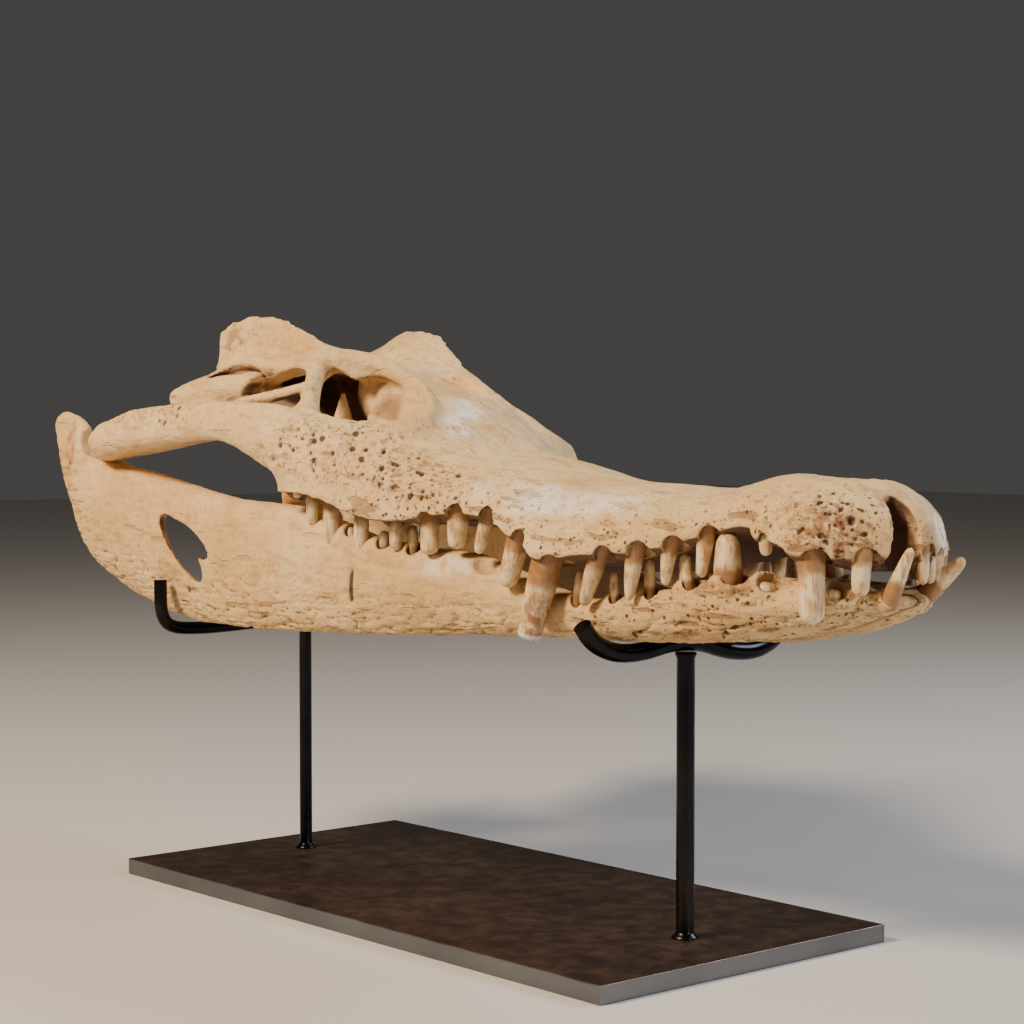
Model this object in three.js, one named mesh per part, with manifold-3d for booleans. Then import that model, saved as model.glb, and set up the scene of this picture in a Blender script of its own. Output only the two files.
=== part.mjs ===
// Crocodile skull on a museum stand: the cranium in four pieces, the two halves of
// the lower jaw, and a steel plate with two posts and two bent cradles.
// Millimetres. +X points along the snout, +Y to the animal's left, +Z up.
// The origin is the centre of the plate's underside.
import * as THREE from 'three';
import { mergeVertices } from 'three/addons/utils/BufferGeometryUtils.js';
import Module from 'manifold-3d';

const wasm = await Module();
wasm.setup();

// ---- driving dimensions -------------------------------------------------

const ROOM = 0.8;              // clearance round a tooth in the other jaw
const GAP = 0.3;               // clearance wherever two pieces meet
const FAR = 400;               // beyond the skull in every direction
const PLATE = { long: 440, wide: 215, thick: 10 };
const FRONT = { x: 171.5, postRadius: 5, rodRadius: 5 };
const REAR = { x: -176.6, postRadius: 4, rodRadius: 4 };
const ROD_SIDES = 8;
const ROD_STEPS = 12;
const POST_SIDES = 12;
const WELD_ROOM = 0.9;         // from the top of a post to the rod over it

// Each cradle from its middle to its left hook, as width and height. The rods and
// the skull lean together about a line at the given height.
const FRONT_HALF = [
  [0, 170.5], [14, 169.4], [30, 165.4], [46, 164.2], [58, 166], [69, 171], [76, 179],
];
const REAR_HALF = [
  [0, 162], [30, 158], [60, 155], [84, 153.6], [102, 154.4], [109.3, 162], [110.5, 184],
];
const LEAN = { roll: -3, height: 170.5, aside: -5 };

// Upper jaw, from the tip of the snout to the cheeks: half width at the tooth
// row, height of the tooth row and height of the snout's back at each x.
const SNOUT = [
  { x: -58, half: 105, margin: 241, top: 309 },
  { x: -30, half: 103, margin: 239, top: 304 },
  { x: 0, half: 95, margin: 230.5, top: 297.5 },
  { x: 12, half: 91, margin: 228, top: 290 },
  { x: 26, half: 87, margin: 227.5, top: 280 },
  { x: 40, half: 83, margin: 229, top: 272 },
  { x: 60, half: 77, margin: 232.5, top: 266 },
  { x: 85, half: 73, margin: 232.5, top: 260.5 },
  { x: 112, half: 72, margin: 223.5, top: 257 },
  { x: 138, half: 74, margin: 212.5, top: 255.5 },
  { x: 165, half: 69, margin: 215.5, top: 255 },
  { x: 195, half: 60, margin: 219, top: 253.5 },
  { x: 210, half: 55.5, margin: 222, top: 253 },
  { x: 225, half: 50, margin: 226.5, top: 254 },
  { x: 240, half: 44.5, margin: 231.5, top: 258 },
  { x: 256, half: 41.5, margin: 234, top: 262 },
  { x: 275, half: 46.5, margin: 228, top: 262 },
  { x: 292, half: 50, margin: 224.5, top: 262 },
  { x: 308, half: 45, margin: 221, top: 259.5 },
  { x: 322, half: 34, margin: 222, top: 253.5 },
  { x: 332, half: 20, margin: 224.5, top: 247 },
  { x: 338, half: 6, margin: 227, top: 240 },
];
const SNOUT_STEPS = 19;
const SNOUT_ARCH = 10;         // faces across the back of the snout
const ARCH_FULLNESS = 0.8;     // under 1 the back is fuller than a half ellipse
const PALATE_RISE = 7;         // the palate lies above the tooth rows
const NARIS = { x: 282, y: 0, long: 40, wide: 30, low: 240, high: 275 };
const FRONT_SLIT = { x: 331, y: -14, wide: 9, deep: 26, low: 215, high: 253 };

// Skull table, from the brow to the back of the head.
const TABLE = [
  { x: 8, half: 22, mid: 288, edge: 288, thick: 10 },
  { x: -8, half: 25, mid: 297, edge: 301, thick: 12 },
  { x: -30, half: 28, mid: 302, edge: 309.5, thick: 12 },
  { x: -58, half: 36, mid: 311, edge: 321, thick: 12 },
  { x: -72, half: 50, mid: 316, edge: 325.5, thick: 11 },
  { x: -92, half: 58, mid: 321, edge: 333, thick: 13 },
  { x: -114, half: 60, mid: 324, edge: 345.5, thick: 26 },
  { x: -140, half: 61, mid: 326, edge: 351, thick: 32 },
  { x: -163, half: 64, mid: 327, edge: 348.5, thick: 32 },
  { x: -181, half: 67, mid: 326, edge: 341, thick: 25 },
];
const TABLE_STEPS = 10;
const RIM_SHARPNESS = 2.5;     // how late the table rises towards its rims
const TABLE_DEPTH = 10;        // thickness of the table along the mid line
const ORBIT = { x: -35, y: 57, long: 66, wide: 48, low: 215, high: 345, tilt: 0.15 };
const TEMPORAL = { x: -128, y: 29, long: 34, wide: 22, low: 300, high: 360, tilt: 0 };
const BROW_HOLLOW = { x: -28, z: 267, long: 30, wide: 62, tall: 21 };
const WELL_SIDES = 9;
const CUT_X = -10;             // the snout ends here and the brow begins
const CUT_Y = 67.6;             // the braincase ends here and the cheek begins

// Lower jaw: outer half width, top and bottom edges and wall thickness at each x.
const JAW = [
  { x: -301, outer: 112, top: 285, low: 270, wall: 12 },
  { x: -295, outer: 113, top: 289, low: 250, wall: 13 },
  { x: -280, outer: 114, top: 289, low: 225, wall: 15 },
  { x: -267, outer: 115, top: 284, low: 205, wall: 18 },
  { x: -257, outer: 116, top: 268, low: 193, wall: 26 },
  { x: -240, outer: 115, top: 259, low: 180, wall: 35 },
  { x: -210, outer: 109, top: 253.5, low: 168, wall: 33 },
  { x: -177, outer: 102.6, top: 249, low: 159.9, wall: 28 },
  { x: -125, outer: 105, top: 242, low: 158.5, wall: 26 },
  { x: -82, outer: 103, top: 235.5, low: 159, wall: 24 },
  { x: -40, outer: 94, top: 227, low: 160, wall: 23 },
  { x: 0, outer: 84, top: 216, low: 161.6, wall: 23 },
  { x: 30, outer: 75, top: 212.3, low: 163.5, wall: 23 },
  { x: 62, outer: 67, top: 210.7, low: 165.4, wall: 23 },
  { x: 92, outer: 61, top: 203, low: 167.2, wall: 23 },
  { x: 120, outer: 56, top: 195.3, low: 168.6, wall: 23 },
  { x: 145, outer: 54, top: 192, low: 169.6, wall: 22 },
  { x: 171, outer: 53, top: 193.5, low: 170.9, wall: 22 },
  { x: 195, outer: 50, top: 198, low: 171.6, wall: 24 },
  { x: 220, outer: 46, top: 204.2, low: 173, wall: 28 },
  { x: 245, outer: 44, top: 207.4, low: 175.2, wall: 33 },
  { x: 270, outer: 38, top: 208.3, low: 179.5, wall: 38 },
  { x: 300, outer: 36, top: 208.4, low: 186, wall: 36 },
  { x: 318, outer: 27, top: 205.5, low: 193, wall: 27 },
  { x: 329, outer: 15, top: 204, low: 198, wall: 15 },
  { x: 334, outer: 5, top: 203, low: 200, wall: 5 },
];
const JAW_STEPS = 23;
const SYMPHYSIS_GAP = 0.4;     // from the mid plane to each half
const JAW_WINDOW = {
  x: -154, z: 206, long: 58, tall: 27, tilt: 0.55, bevel: 0.95, outside: -20, inside: 36,
};
const JAW_FOSSA = { x: -158, z: 205, long: 170, tall: 78, skin: 7 };

// Teeth on each side: x at the root, lean of the tip along x, height of the tip
// and radius at the root. A tooth named by side stands on that side only.
const UPPER_TEETH = [
  { x: 335.3, y: -1.5, lean: 0.9, tip: 209.6, radius: 3, side: 1 },
  { x: 332, y: 8, lean: 1, tip: 210, radius: 3, side: 1 },
  { x: 331.5, y: 14, lean: 1.5, tip: 211, radius: 3, side: 1 },
  { x: 320.3, y: 28, lean: 0, tip: 203, radius: 5 },
  { x: 299.5, y: 41, lean: 2.4, tip: 188.5, radius: 6.7, side: -1 },
  { x: 299.5, y: 41, lean: 1.2, tip: 203, radius: 6.7, side: 1 },
  { x: 269.5, y: 41, lean: 0.5, tip: 220, radius: 3.4 },
  { x: 230.8, y: 42, lean: -3.8, tip: 207, radius: 4.5 },
  { x: 211.5, y: 48, lean: -4, tip: 202, radius: 5 },
  { x: 192.4, y: 54, lean: -4.6, tip: 193, radius: 5.4 },
  { x: 172, y: 58, lean: -14.5, tip: 188.5, radius: 5.2 },
  { x: 137.9, y: 63.5, lean: -16.7, tip: 168, radius: 7.8 },
  { x: 113, y: 62, lean: -12.5, tip: 195, radius: 6.8 },
  { x: 86.3, y: 62, lean: -11, tip: 212, radius: 4.5 },
  { x: 62.2, y: 66, lean: 0, tip: 214, radius: 5.7 },
  { x: 42.1, y: 70, lean: 1, tip: 210, radius: 5.3 },
  { x: 17.8, y: 75, lean: 1, tip: 211, radius: 3.6 },
  { x: -7.3, y: 80, lean: 0, tip: 207, radius: 4.2 },
  { x: -29.2, y: 86, lean: 1.5, tip: 211, radius: 4.5 },
  { x: -42.5, y: 90, lean: 1, tip: 223, radius: 3.4 },
  { x: -52.5, y: 93, lean: -0.7, tip: 238, radius: 3 },
];
const LOWER_TEETH = [
  { x: 324, y: 16, lean: 17.4, tip: 227.5, radius: 4.2, side: -1 },
  { x: 321, y: 17, lean: 25, tip: 223, radius: 5.2, side: 1 },
  { x: 306, y: 31, lean: 0, tip: 206, radius: 3.6 },
  { x: 263.8, y: 33, lean: 0, tip: 207, radius: 5.4 },
  { x: 242.8, y: 38, lean: -2, tip: 230.5, radius: 6.8 },
  { x: 217, y: 40, lean: -4, tip: 219, radius: 4.3 },
  { x: 193, y: 44, lean: -1.1, tip: 215.4, radius: 3.1 },
  { x: 170, y: 47, lean: -1.6, tip: 207.4, radius: 2.6 },
  { x: 144, y: 50, lean: 1.5, tip: 207, radius: 2.7 },
  { x: 24, y: 66, lean: -1.7, tip: 225, radius: 3.2 },
  { x: 4, y: 72, lean: 0, tip: 222, radius: 3.4 },
  { x: -19, y: 78, lean: -0.7, tip: 223, radius: 2.9 },
];
const TOOTH_SIDES = 5;
const ROOT_DEPTH = 7;
const BIG_TOOTH = 6;           // radius above which a crown keeps its full curve

const SIDES = [-1, 1];         // right, left

// ---- closed bodies ------------------------------------------------------

const at = (x, y, z) => new THREE.Vector3(x, y, z);

// One closed body through rings of equal length, capped at both ends.
function loft(rings) {
  const count = rings[0].length;
  const points = rings.flat();
  const faces = [];
  for (let r = 0; r + 1 < rings.length; r++) {
    for (let i = 0; i < count; i++) {
      const a = r * count + i;
      const b = r * count + (i + 1) % count;
      faces.push([a, b, b + count], [a, b + count, a + count]);
    }
  }
  for (const [start, turn] of [[0, -1], [(rings.length - 1) * count, 1]]) {
    const middle = points.length;
    const sum = at(0, 0, 0);
    for (let i = 0; i < count; i++) sum.add(points[start + i]);
    points.push(sum.divideScalar(count));
    for (let i = 0; i < count; i++) {
      const a = start + i;
      const b = start + (i + 1) % count;
      faces.push(turn > 0 ? [a, b, middle] : [b, a, middle]);
    }
  }
  return outward(points, faces);
}

// Turns the faces of a closed body outwards and makes it a solid.
function outward(points, faces) {
  const volume = faces.reduce((sum, [a, b, c]) => (
    sum + points[a].dot(points[b].clone().cross(points[c]))), 0);
  const order = volume < 0 ? faces.map(([a, b, c]) => [a, c, b]) : faces;
  const geometry = new THREE.BufferGeometry();
  geometry.setAttribute('position', new THREE.Float32BufferAttribute(
    points.flatMap((p) => [p.x, p.y, p.z]), 3));
  geometry.setIndex(order.flat());
  return solid(geometry);
}

function solid(geometry) {
  geometry.deleteAttribute('normal');
  geometry.deleteAttribute('uv');
  const merged = mergeVertices(geometry, 1e-4);
  return new wasm.Manifold(new wasm.Mesh({
    numProp: 3,
    vertProperties: Float32Array.from(merged.attributes.position.array),
    triVerts: Uint32Array.from(merged.index.array),
  }));
}

const join = (bodies) => bodies.reduce((all, body) => all.add(body));
const cut = (body, tools) => tools.reduce((rest, tool) => rest.subtract(tool), body);

function box(low, high) {
  const size = high.clone().sub(low);
  const middle = low.clone().add(high).multiplyScalar(0.5);
  return solid(new THREE.BoxGeometry(size.x, size.y, size.z)
    .translate(middle.x, middle.y, middle.z));
}

// An ellipsoid, for knobs and hollows.
function knob(centre, radii, turns = 8) {
  return solid(new THREE.SphereGeometry(1, turns, turns / 2)
    .scale(radii.x, radii.y, radii.z).translate(centre.x, centre.y, centre.z));
}

// A bar of oval section through stations {p, wide, tall}.
function bar(stations, sides = 7) {
  const rings = stations.map(({ p, wide, tall }, i) => {
    const before = stations[Math.max(i - 1, 0)].p;
    const after = stations[Math.min(i + 1, stations.length - 1)].p;
    const along = after.clone().sub(before).normalize();
    const upright = Math.abs(along.z) > 0.9 ? at(1, 0, 0) : at(0, 0, 1);
    const across = upright.clone().cross(along).normalize();
    const up = along.clone().cross(across);
    return Array.from({ length: sides }, (_, k) => {
      const angle = (k + 0.5) / sides * 2 * Math.PI;
      return p.clone()
        .addScaledVector(across, wide * Math.cos(angle))
        .addScaledVector(up, tall * Math.sin(angle));
    });
  });
  return loft(rings);
}

// Smooth values of a table at any x between its first and last station.
function smooth(table) {
  const rows = [...table].sort((a, b) => a.x - b.x);
  const keys = Object.keys(rows[0]).filter((key) => key !== 'x');
  const curve = new THREE.CubicInterpolant(
    rows.map((row) => row.x), rows.flatMap((row) => keys.map((key) => row[key])), keys.length);
  return (x) => {
    const values = curve.evaluate(x);
    return Object.fromEntries(keys.map((key, i) => [key, values[i]]));
  };
}

const first = (table) => Math.min(...table.map((row) => row.x));
const last = (table) => Math.max(...table.map((row) => row.x));

// Stations that lie closer together towards the far end of a range.
function steps(low, high, count, crowd = 1) {
  return Array.from({ length: count + 1 }, (_, i) => (
    high - (high - low) * (1 - i / count) ** crowd));
}

// ---- cranium ------------------------------------------------------------

const snoutAt = smooth(SNOUT);
const tableAt = smooth(TABLE);
const jawAt = smooth(JAW);

// Arched back and flat palate of the upper jaw.
function snoutRing(x) {
  const { half, margin, top } = snoutAt(x);
  const ring = [];
  for (let i = 0; i <= SNOUT_ARCH; i++) {
    const angle = Math.PI * i / SNOUT_ARCH;
    const rise = Math.max(Math.sin(angle), 0) ** ARCH_FULLNESS;
    ring.push(at(x, half * Math.cos(angle), margin + (top - margin) * rise));
  }
  for (const share of [-0.75, 0, 0.75]) {
    ring.push(at(x, half * share, margin + PALATE_RISE * (1 - share ** 2)));
  }
  return ring;
}

function snoutBlock() {
  return loft(steps(first(SNOUT), last(SNOUT), SNOUT_STEPS, 1.25).map(snoutRing));
}

// Brow and skull table, with the raised rims of a big animal.
function tableRing(x) {
  const { half, mid, edge, thick } = tableAt(x);
  const shares = [1, 0.78, 0.32, -0.32, -0.78, -1];
  const below = mid - TABLE_DEPTH;
  const upper = shares.map((share) => (
    at(x, half * share, mid + (edge - mid) * Math.abs(share) ** RIM_SHARPNESS)));
  const lower = shares.map((share) => (
    at(x, half * share, below + (edge - thick - below) * share ** 2)));
  return [...upper, ...lower.reverse()];
}

function roof() {
  return loft(steps(first(TABLE), last(TABLE), TABLE_STEPS).map(tableRing));
}

function braincase() {
  const trunk = bar([
    { p: at(-48, 0, 292), wide: 12, tall: 20 },
    { p: at(-80, 0, 292), wide: 26, tall: 30 },
    { p: at(-140, 0, 290), wide: 34, tall: 36 },
    { p: at(-180, 0, 290), wide: 32, tall: 34 },
  ], 8);
  const condyle = knob(at(-190, 0, 284), at(13, 14, 12), 8);
  const keel = bar([
    { p: at(-176, 0, 262), wide: 24, tall: 20 },
    { p: at(-166, 0, 243), wide: 22, tall: 9 },
  ]);
  const palatine = bar([
    { p: at(CUT_X + 10, 0, 238), wide: 26, tall: 9 },
    { p: at(-40, 0, 240), wide: 18, tall: 9 },
    { p: at(-90, 0, 246), wide: 22, tall: 9 },
    { p: at(-150, 0, 262), wide: 28, tall: 14 },
  ]);
  return join([trunk, condyle, keel, palatine]);
}

// Wing of the palate that bows down beside the lower jaw, and its strut to the cheek.
function pterygoid(side) {
  const wing = bar([
    { p: at(-104, side * 8, 250), wide: 34, tall: 6 },
    { p: at(-106, side * 34, 240), wide: 30, tall: 5 },
    { p: at(-108, side * 56, 224), wide: 24, tall: 5 },
    { p: at(-108, side * 62, 213), wide: 15, tall: 4 },
  ]);
  const strut = bar([
    { p: at(-92, side * 64, 218), wide: 8, tall: 6 },
    { p: at(-76, side * 78, 240), wide: 8, tall: 6 },
    { p: at(-56, side * 92, 254), wide: 10, tall: 7 },
  ], 6);
  return join([wing, strut]);
}

// Cheek: the long lower bar, the quadrate with the jaw joint, the bar behind
// the eye and the process at the back corner of the head.
function cheek(side) {
  const arch = bar([
    { p: at(-26, side * 88, 258), wide: 9, tall: 18 },
    { p: at(-62, side * 102, 274), wide: 9, tall: 19 },
    { p: at(-100, side * 112, 282), wide: 7, tall: 12 },
    { p: at(-150, side * 117, 278.5), wide: 6, tall: 12 },
    { p: at(-200, side * 117, 274.5), wide: 7, tall: 12 },
    { p: at(-236, side * 112, 271), wide: 10, tall: 11.5 },
  ]);
  const quadrate = bar([
    { p: at(-112, side * 34, 302), wide: 16, tall: 18 },
    { p: at(-150, side * 62, 296), wide: 20, tall: 15 },
    { p: at(-190, side * 84, 281), wide: 26, tall: 12 },
    { p: at(-226, side * 101, 272), wide: 26, tall: 11 },
    { p: at(-249, side * 107, 269), wide: 25, tall: 10.5 },
    { p: at(-259, side * 108, 268.5), wide: 20, tall: 7 },
  ]);
  const postorbital = bar([
    { p: at(-90, side * 50, 316), wide: 9, tall: 8 },
    { p: at(-77, side * 68, 304), wide: 6, tall: 8 },
    { p: at(-70, side * 80, 290), wide: 6, tall: 10 },
    { p: at(-64, side * 98, 277), wide: 8, tall: 11 },
  ], 6);
  const process = bar([
    { p: at(-156, side * 20, 304), wide: 14, tall: 18 },
    { p: at(-163, side * 56, 308), wide: 13, tall: 15 },
    { p: at(-177, side * 78, 300.5), wide: 11, tall: 9.5 },
    { p: at(-188, side * 90, 297), wide: 8, tall: 6 },
  ], 6);
  return join([arch, quadrate, postorbital, process]);
}

// Oval well through the head, for the eye, the naris and the table's windows.
function well({ x, y, long, wide, low, high, tilt = 0 }) {
  const ring = (z, grow) => Array.from({ length: WELL_SIDES }, (_, i) => {
    const angle = 2 * Math.PI * i / WELL_SIDES;
    const forward = long / 2 * grow * Math.cos(angle);
    const aside = wide / 2 * grow * Math.sin(angle);
    return at(x + forward, y + aside - Math.sign(y) * tilt * forward, z);
  });
  return loft([ring(low, 1), ring(high, 1.05)]);
}

// Slit in the front of the snout, between the halves of its tip.
function frontSlit() {
  const { x, y, wide, deep, low, high } = FRONT_SLIT;
  return box(at(x - deep / 2, y - wide / 2, low), at(x + deep / 2, y + wide / 2, high));
}

// Hollow below the brow, open to both orbits.
function browHollow() {
  const { x, z, long, wide, tall } = BROW_HOLLOW;
  return knob(at(x, 0, z), at(long, wide, tall), 8);
}

function hollows() {
  const tools = [well(NARIS), frontSlit(), browHollow()];
  for (const side of SIDES) {
    tools.push(well({ ...ORBIT, y: side * ORBIT.y }));
    tools.push(well({ ...TEMPORAL, y: side * TEMPORAL.y }));
  }
  return tools;
}

// ---- teeth --------------------------------------------------------------

// A blunt cone from inside the jaw to the tip, or its clearance in the other jaw.
function tooth(root, tip, radius, clearance = 0) {
  const big = [[0, 1], [0.6, 0.9], [0.9, 0.5], [1, 0.22]];
  const small = [[0, 1], [0.72, 0.75], [1, 0.25]];
  const stations = radius > BIG_TOOTH ? big : small;
  return bar(stations.map(([share, grow]) => {
    const p = root.clone().lerp(tip, share);
    return { p, wide: radius * grow + clearance, tall: radius * grow + clearance };
  }), TOOTH_SIDES);
}

function upperTeeth(side, clearance = 0) {
  const own = UPPER_TEETH.filter((row) => (row.side ?? side) === side);
  const rows = clearance ? own.filter((row) => row.tip < jawAt(row.x).top + ROOT_DEPTH) : own;
  return rows.map((row) => {
    const { margin } = snoutAt(row.x);
    const y = side * row.y;
    return tooth(at(row.x, y, margin + ROOT_DEPTH), at(row.x + row.lean, y, row.tip - clearance),
      row.radius, clearance);
  });
}

function lowerTeeth(side, clearance = 0) {
  const reaches = (row) => row.tip > snoutAt(row.x).margin - ROOT_DEPTH;
  const own = LOWER_TEETH.filter((row) => (row.side ?? side) === side);
  const rows = clearance ? own.filter(reaches) : own;
  return rows.map((row) => {
    const y = side * row.y;
    return tooth(at(row.x, y, jawAt(row.x).top - ROOT_DEPTH),
      at(row.x + row.lean, y, row.tip + clearance), row.radius, clearance);
  });
}

// ---- lower jaw ----------------------------------------------------------

// A tall plate that bows outwards and tucks in at its lower edge.
function jawRing(x, side) {
  const { outer, top, low, wall } = jawAt(x);
  const shape = [
    [0.12, 0.96], [0, 0.68], [0.05, 0.42], [0.24, 0.16], [0.48, 0.01],
    [0.72, 0.01], [0.95, 0.16], [1, 0.5], [0.94, 0.9], [0.55, 1],
  ];
  return shape.map(([inward, rise]) => {
    const y = Math.max(outer - wall * inward, SYMPHYSIS_GAP);
    return at(x, side * y, low + (top - low) * rise);
  });
}

// Slanted window through the plate, with its edge bevelled towards the back.
function jawWindow(side) {
  const { x, z, long, tall, tilt, bevel, outside, inside } = JAW_WINDOW;
  const { outer } = jawAt(x);
  const ring = (deep) => Array.from({ length: WELL_SIDES }, (_, i) => {
    const angle = 2 * Math.PI * i / WELL_SIDES;
    const u = long / 2 * Math.cos(angle);
    const v = tall / 2 * Math.sin(angle);
    return at(x - deep * bevel + u * Math.cos(tilt) + v * Math.sin(tilt),
      side * (outer - deep), z - u * Math.sin(tilt) + v * Math.cos(tilt));
  });
  return loft([ring(outside), ring(inside)]);
}

// Hollow on the inner side, which leaves a thin plate round the window.
function jawFossa(side) {
  const { x, z, long, tall, skin } = JAW_FOSSA;
  const { outer, wall } = jawAt(x);
  return knob(at(x, side * (outer - wall), z), at(long / 2, wall - skin, tall / 2), 8);
}

// Room for the quadrate in the jaw joint.
function cranialJoint(side) {
  return bar([
    { p: at(-215, side * 96, 276), wide: 32, tall: 13 },
    { p: at(-240, side * 104, 270.5), wide: 32, tall: 13.5 },
    { p: at(-263, side * 108, 269.5), wide: 28, tall: 12 },
  ], 8);
}

function jaw(side) {
  const stations = steps(first(JAW), last(JAW), JAW_STEPS);
  const plate = loft(stations.map((x) => jawRing(x, side)));
  const room = [jawWindow(side), jawFossa(side), cranialJoint(side), ...upperTeeth(side, ROOM)];
  const body = cut(plate, room);
  return join([body, ...lowerTeeth(side)]);
}

// ---- the stand ----------------------------------------------------------

function rodThrough(points, radius) {
  const curve = new THREE.CatmullRomCurve3(points, false, 'centripetal');
  const section = new THREE.Shape();
  section.absarc(0, 0, radius, 0, 2 * Math.PI);
  const rod = solid(new THREE.ExtrudeGeometry(section, {
    curveSegments: ROD_SIDES / 2, steps: ROD_STEPS, bevelEnabled: false, extrudePath: curve,
  }));
  const round = radius * 1.02;
  const tips = [points[0], points[points.length - 1]].map((p) => (
    knob(p, at(round, round, round), ROD_SIDES)));
  return join([rod, ...tips]);
}

// Bent rod: high over its post, a dip under each half of the jaw, hooks at the ends.
function cradle(x, radius, half) {
  const right = half.map(([y, z]) => at(x, -y, z)).reverse();
  const left = half.slice(1).map(([y, z]) => at(x, y, z));
  return rodThrough([...right, ...left], radius);
}

function post({ x, postRadius, rodRadius }, rodHeight) {
  const low = PLATE.thick + GAP;
  const high = rodHeight - rodRadius - WELD_ROOM;
  return solid(new THREE.CylinderGeometry(postRadius, postRadius, high - low, POST_SIDES)
    .rotateX(Math.PI / 2).translate(x, 0, (low + high) / 2));
}

// ---- materials and nodes ------------------------------------------------

const paint = (color, roughness, metalness) => (
  new THREE.MeshStandardMaterial({ color, roughness, metalness }));
const bone = () => paint(0xdcc09a, 0.75, 0);
const plateSteel = () => paint(0x4a3a30, 0.45, 0.8);
const rodSteel = () => paint(0x1d1d1f, 0.3, 0.9);

function node(name, body, material) {
  const { vertProperties, triVerts } = body.getMesh();
  const geometry = new THREE.BufferGeometry();
  geometry.setAttribute('position', new THREE.Float32BufferAttribute(vertProperties, 3));
  geometry.setIndex(Array.from(triVerts));
  const mesh = new THREE.Mesh(geometry, material);
  mesh.name = name;
  return mesh;
}

// The whole cranium with its teeth, and room for the lower teeth.
function cranium() {
  const bones = [snoutBlock(), roof(), braincase()];
  for (const side of SIDES) bones.push(cheek(side), pterygoid(side));
  const carved = cut(join(bones), hollows());
  const teeth = SIDES.flatMap((side) => upperTeeth(side));
  const pits = SIDES.flatMap((side) => lowerTeeth(side, ROOM));
  return cut(join([carved, ...teeth]), pits);
}

function craniumNodes() {
  const whole = cranium();
  const half = GAP / 2;
  const behind = CUT_X - half;
  const inner = CUT_Y - half;
  const outer = CUT_Y + half;
  const within = (low, high) => whole.intersect(box(low, high));
  return [
    node('snout', within(at(CUT_X + half, -FAR, 0), at(FAR, FAR, FAR)), bone()),
    node('braincase', within(at(-FAR, -inner, 0), at(behind, inner, FAR)), bone()),
    node('cheek_left', within(at(-FAR, outer, 0), at(behind, FAR, FAR)), bone()),
    node('cheek_right', within(at(-FAR, -FAR, 0), at(behind, -outer, FAR)), bone()),
  ];
}

function cradleNodes() {
  return [
    node('stand_cradle_front', cradle(FRONT.x, FRONT.rodRadius, FRONT_HALF), rodSteel()),
    node('stand_cradle_rear', cradle(REAR.x, REAR.rodRadius, REAR_HALF), rodSteel()),
  ];
}

function standNodes() {
  const plate = solid(new THREE.BoxGeometry(PLATE.long, PLATE.wide, PLATE.thick)
    .translate(0, 0, PLATE.thick / 2));
  return [
    node('stand_base', plate, plateSteel()),
    node('stand_post_front', post(FRONT, FRONT_HALF[0][1]), rodSteel()),
    node('stand_post_rear', post(REAR, REAR_HALF[0][1]), rodSteel()),
  ];
}

// The skull lies a little aslant in its cradles, lower on its left.
const skull = new THREE.Group();
skull.add(...craniumNodes());
skull.add(node('mandible_left', jaw(1), bone()));
skull.add(node('mandible_right', jaw(-1), bone()));
skull.position.set(0, LEAN.aside, -LEAN.height);

const cradles = new THREE.Group();
cradles.add(...cradleNodes());
cradles.position.z = -LEAN.height;

const carried = new THREE.Group();
carried.add(skull, cradles);
carried.position.z = LEAN.height;
carried.rotation.x = THREE.MathUtils.degToRad(LEAN.roll);

const model = new THREE.Group();
model.add(carried, ...standNodes());

export default model;
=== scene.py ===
import math
from itertools import product

import bmesh
import bpy
import numpy as np
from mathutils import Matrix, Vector
from mathutils.geometry import delaunay_2d_cdt


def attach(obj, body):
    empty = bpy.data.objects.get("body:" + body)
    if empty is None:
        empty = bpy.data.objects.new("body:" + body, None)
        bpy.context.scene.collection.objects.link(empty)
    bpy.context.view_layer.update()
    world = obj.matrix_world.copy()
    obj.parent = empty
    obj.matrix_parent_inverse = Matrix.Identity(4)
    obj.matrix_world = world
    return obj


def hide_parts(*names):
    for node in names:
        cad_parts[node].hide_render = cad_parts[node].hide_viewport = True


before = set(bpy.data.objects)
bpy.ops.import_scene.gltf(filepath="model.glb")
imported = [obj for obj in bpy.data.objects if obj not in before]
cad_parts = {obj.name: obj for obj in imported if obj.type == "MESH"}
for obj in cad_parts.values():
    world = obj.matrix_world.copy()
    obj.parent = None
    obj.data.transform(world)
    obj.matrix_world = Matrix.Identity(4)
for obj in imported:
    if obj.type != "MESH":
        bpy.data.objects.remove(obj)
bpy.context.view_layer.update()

# ---- The cranium ----------------------------------------------------------
# The upper skull of an old crocodile, one dry bone from the snout to the jaw joints,
# boiled clean and air dried. It rests in the two cradles by the lower jaw. Sizes here
# are millimetres in the skull's own frame, before it leans over in its cradles.

LEAN_ROLL = math.radians(-3)
LEAN_HEIGHT = 170.5
LEAN_ASIDE = -5.0

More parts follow.
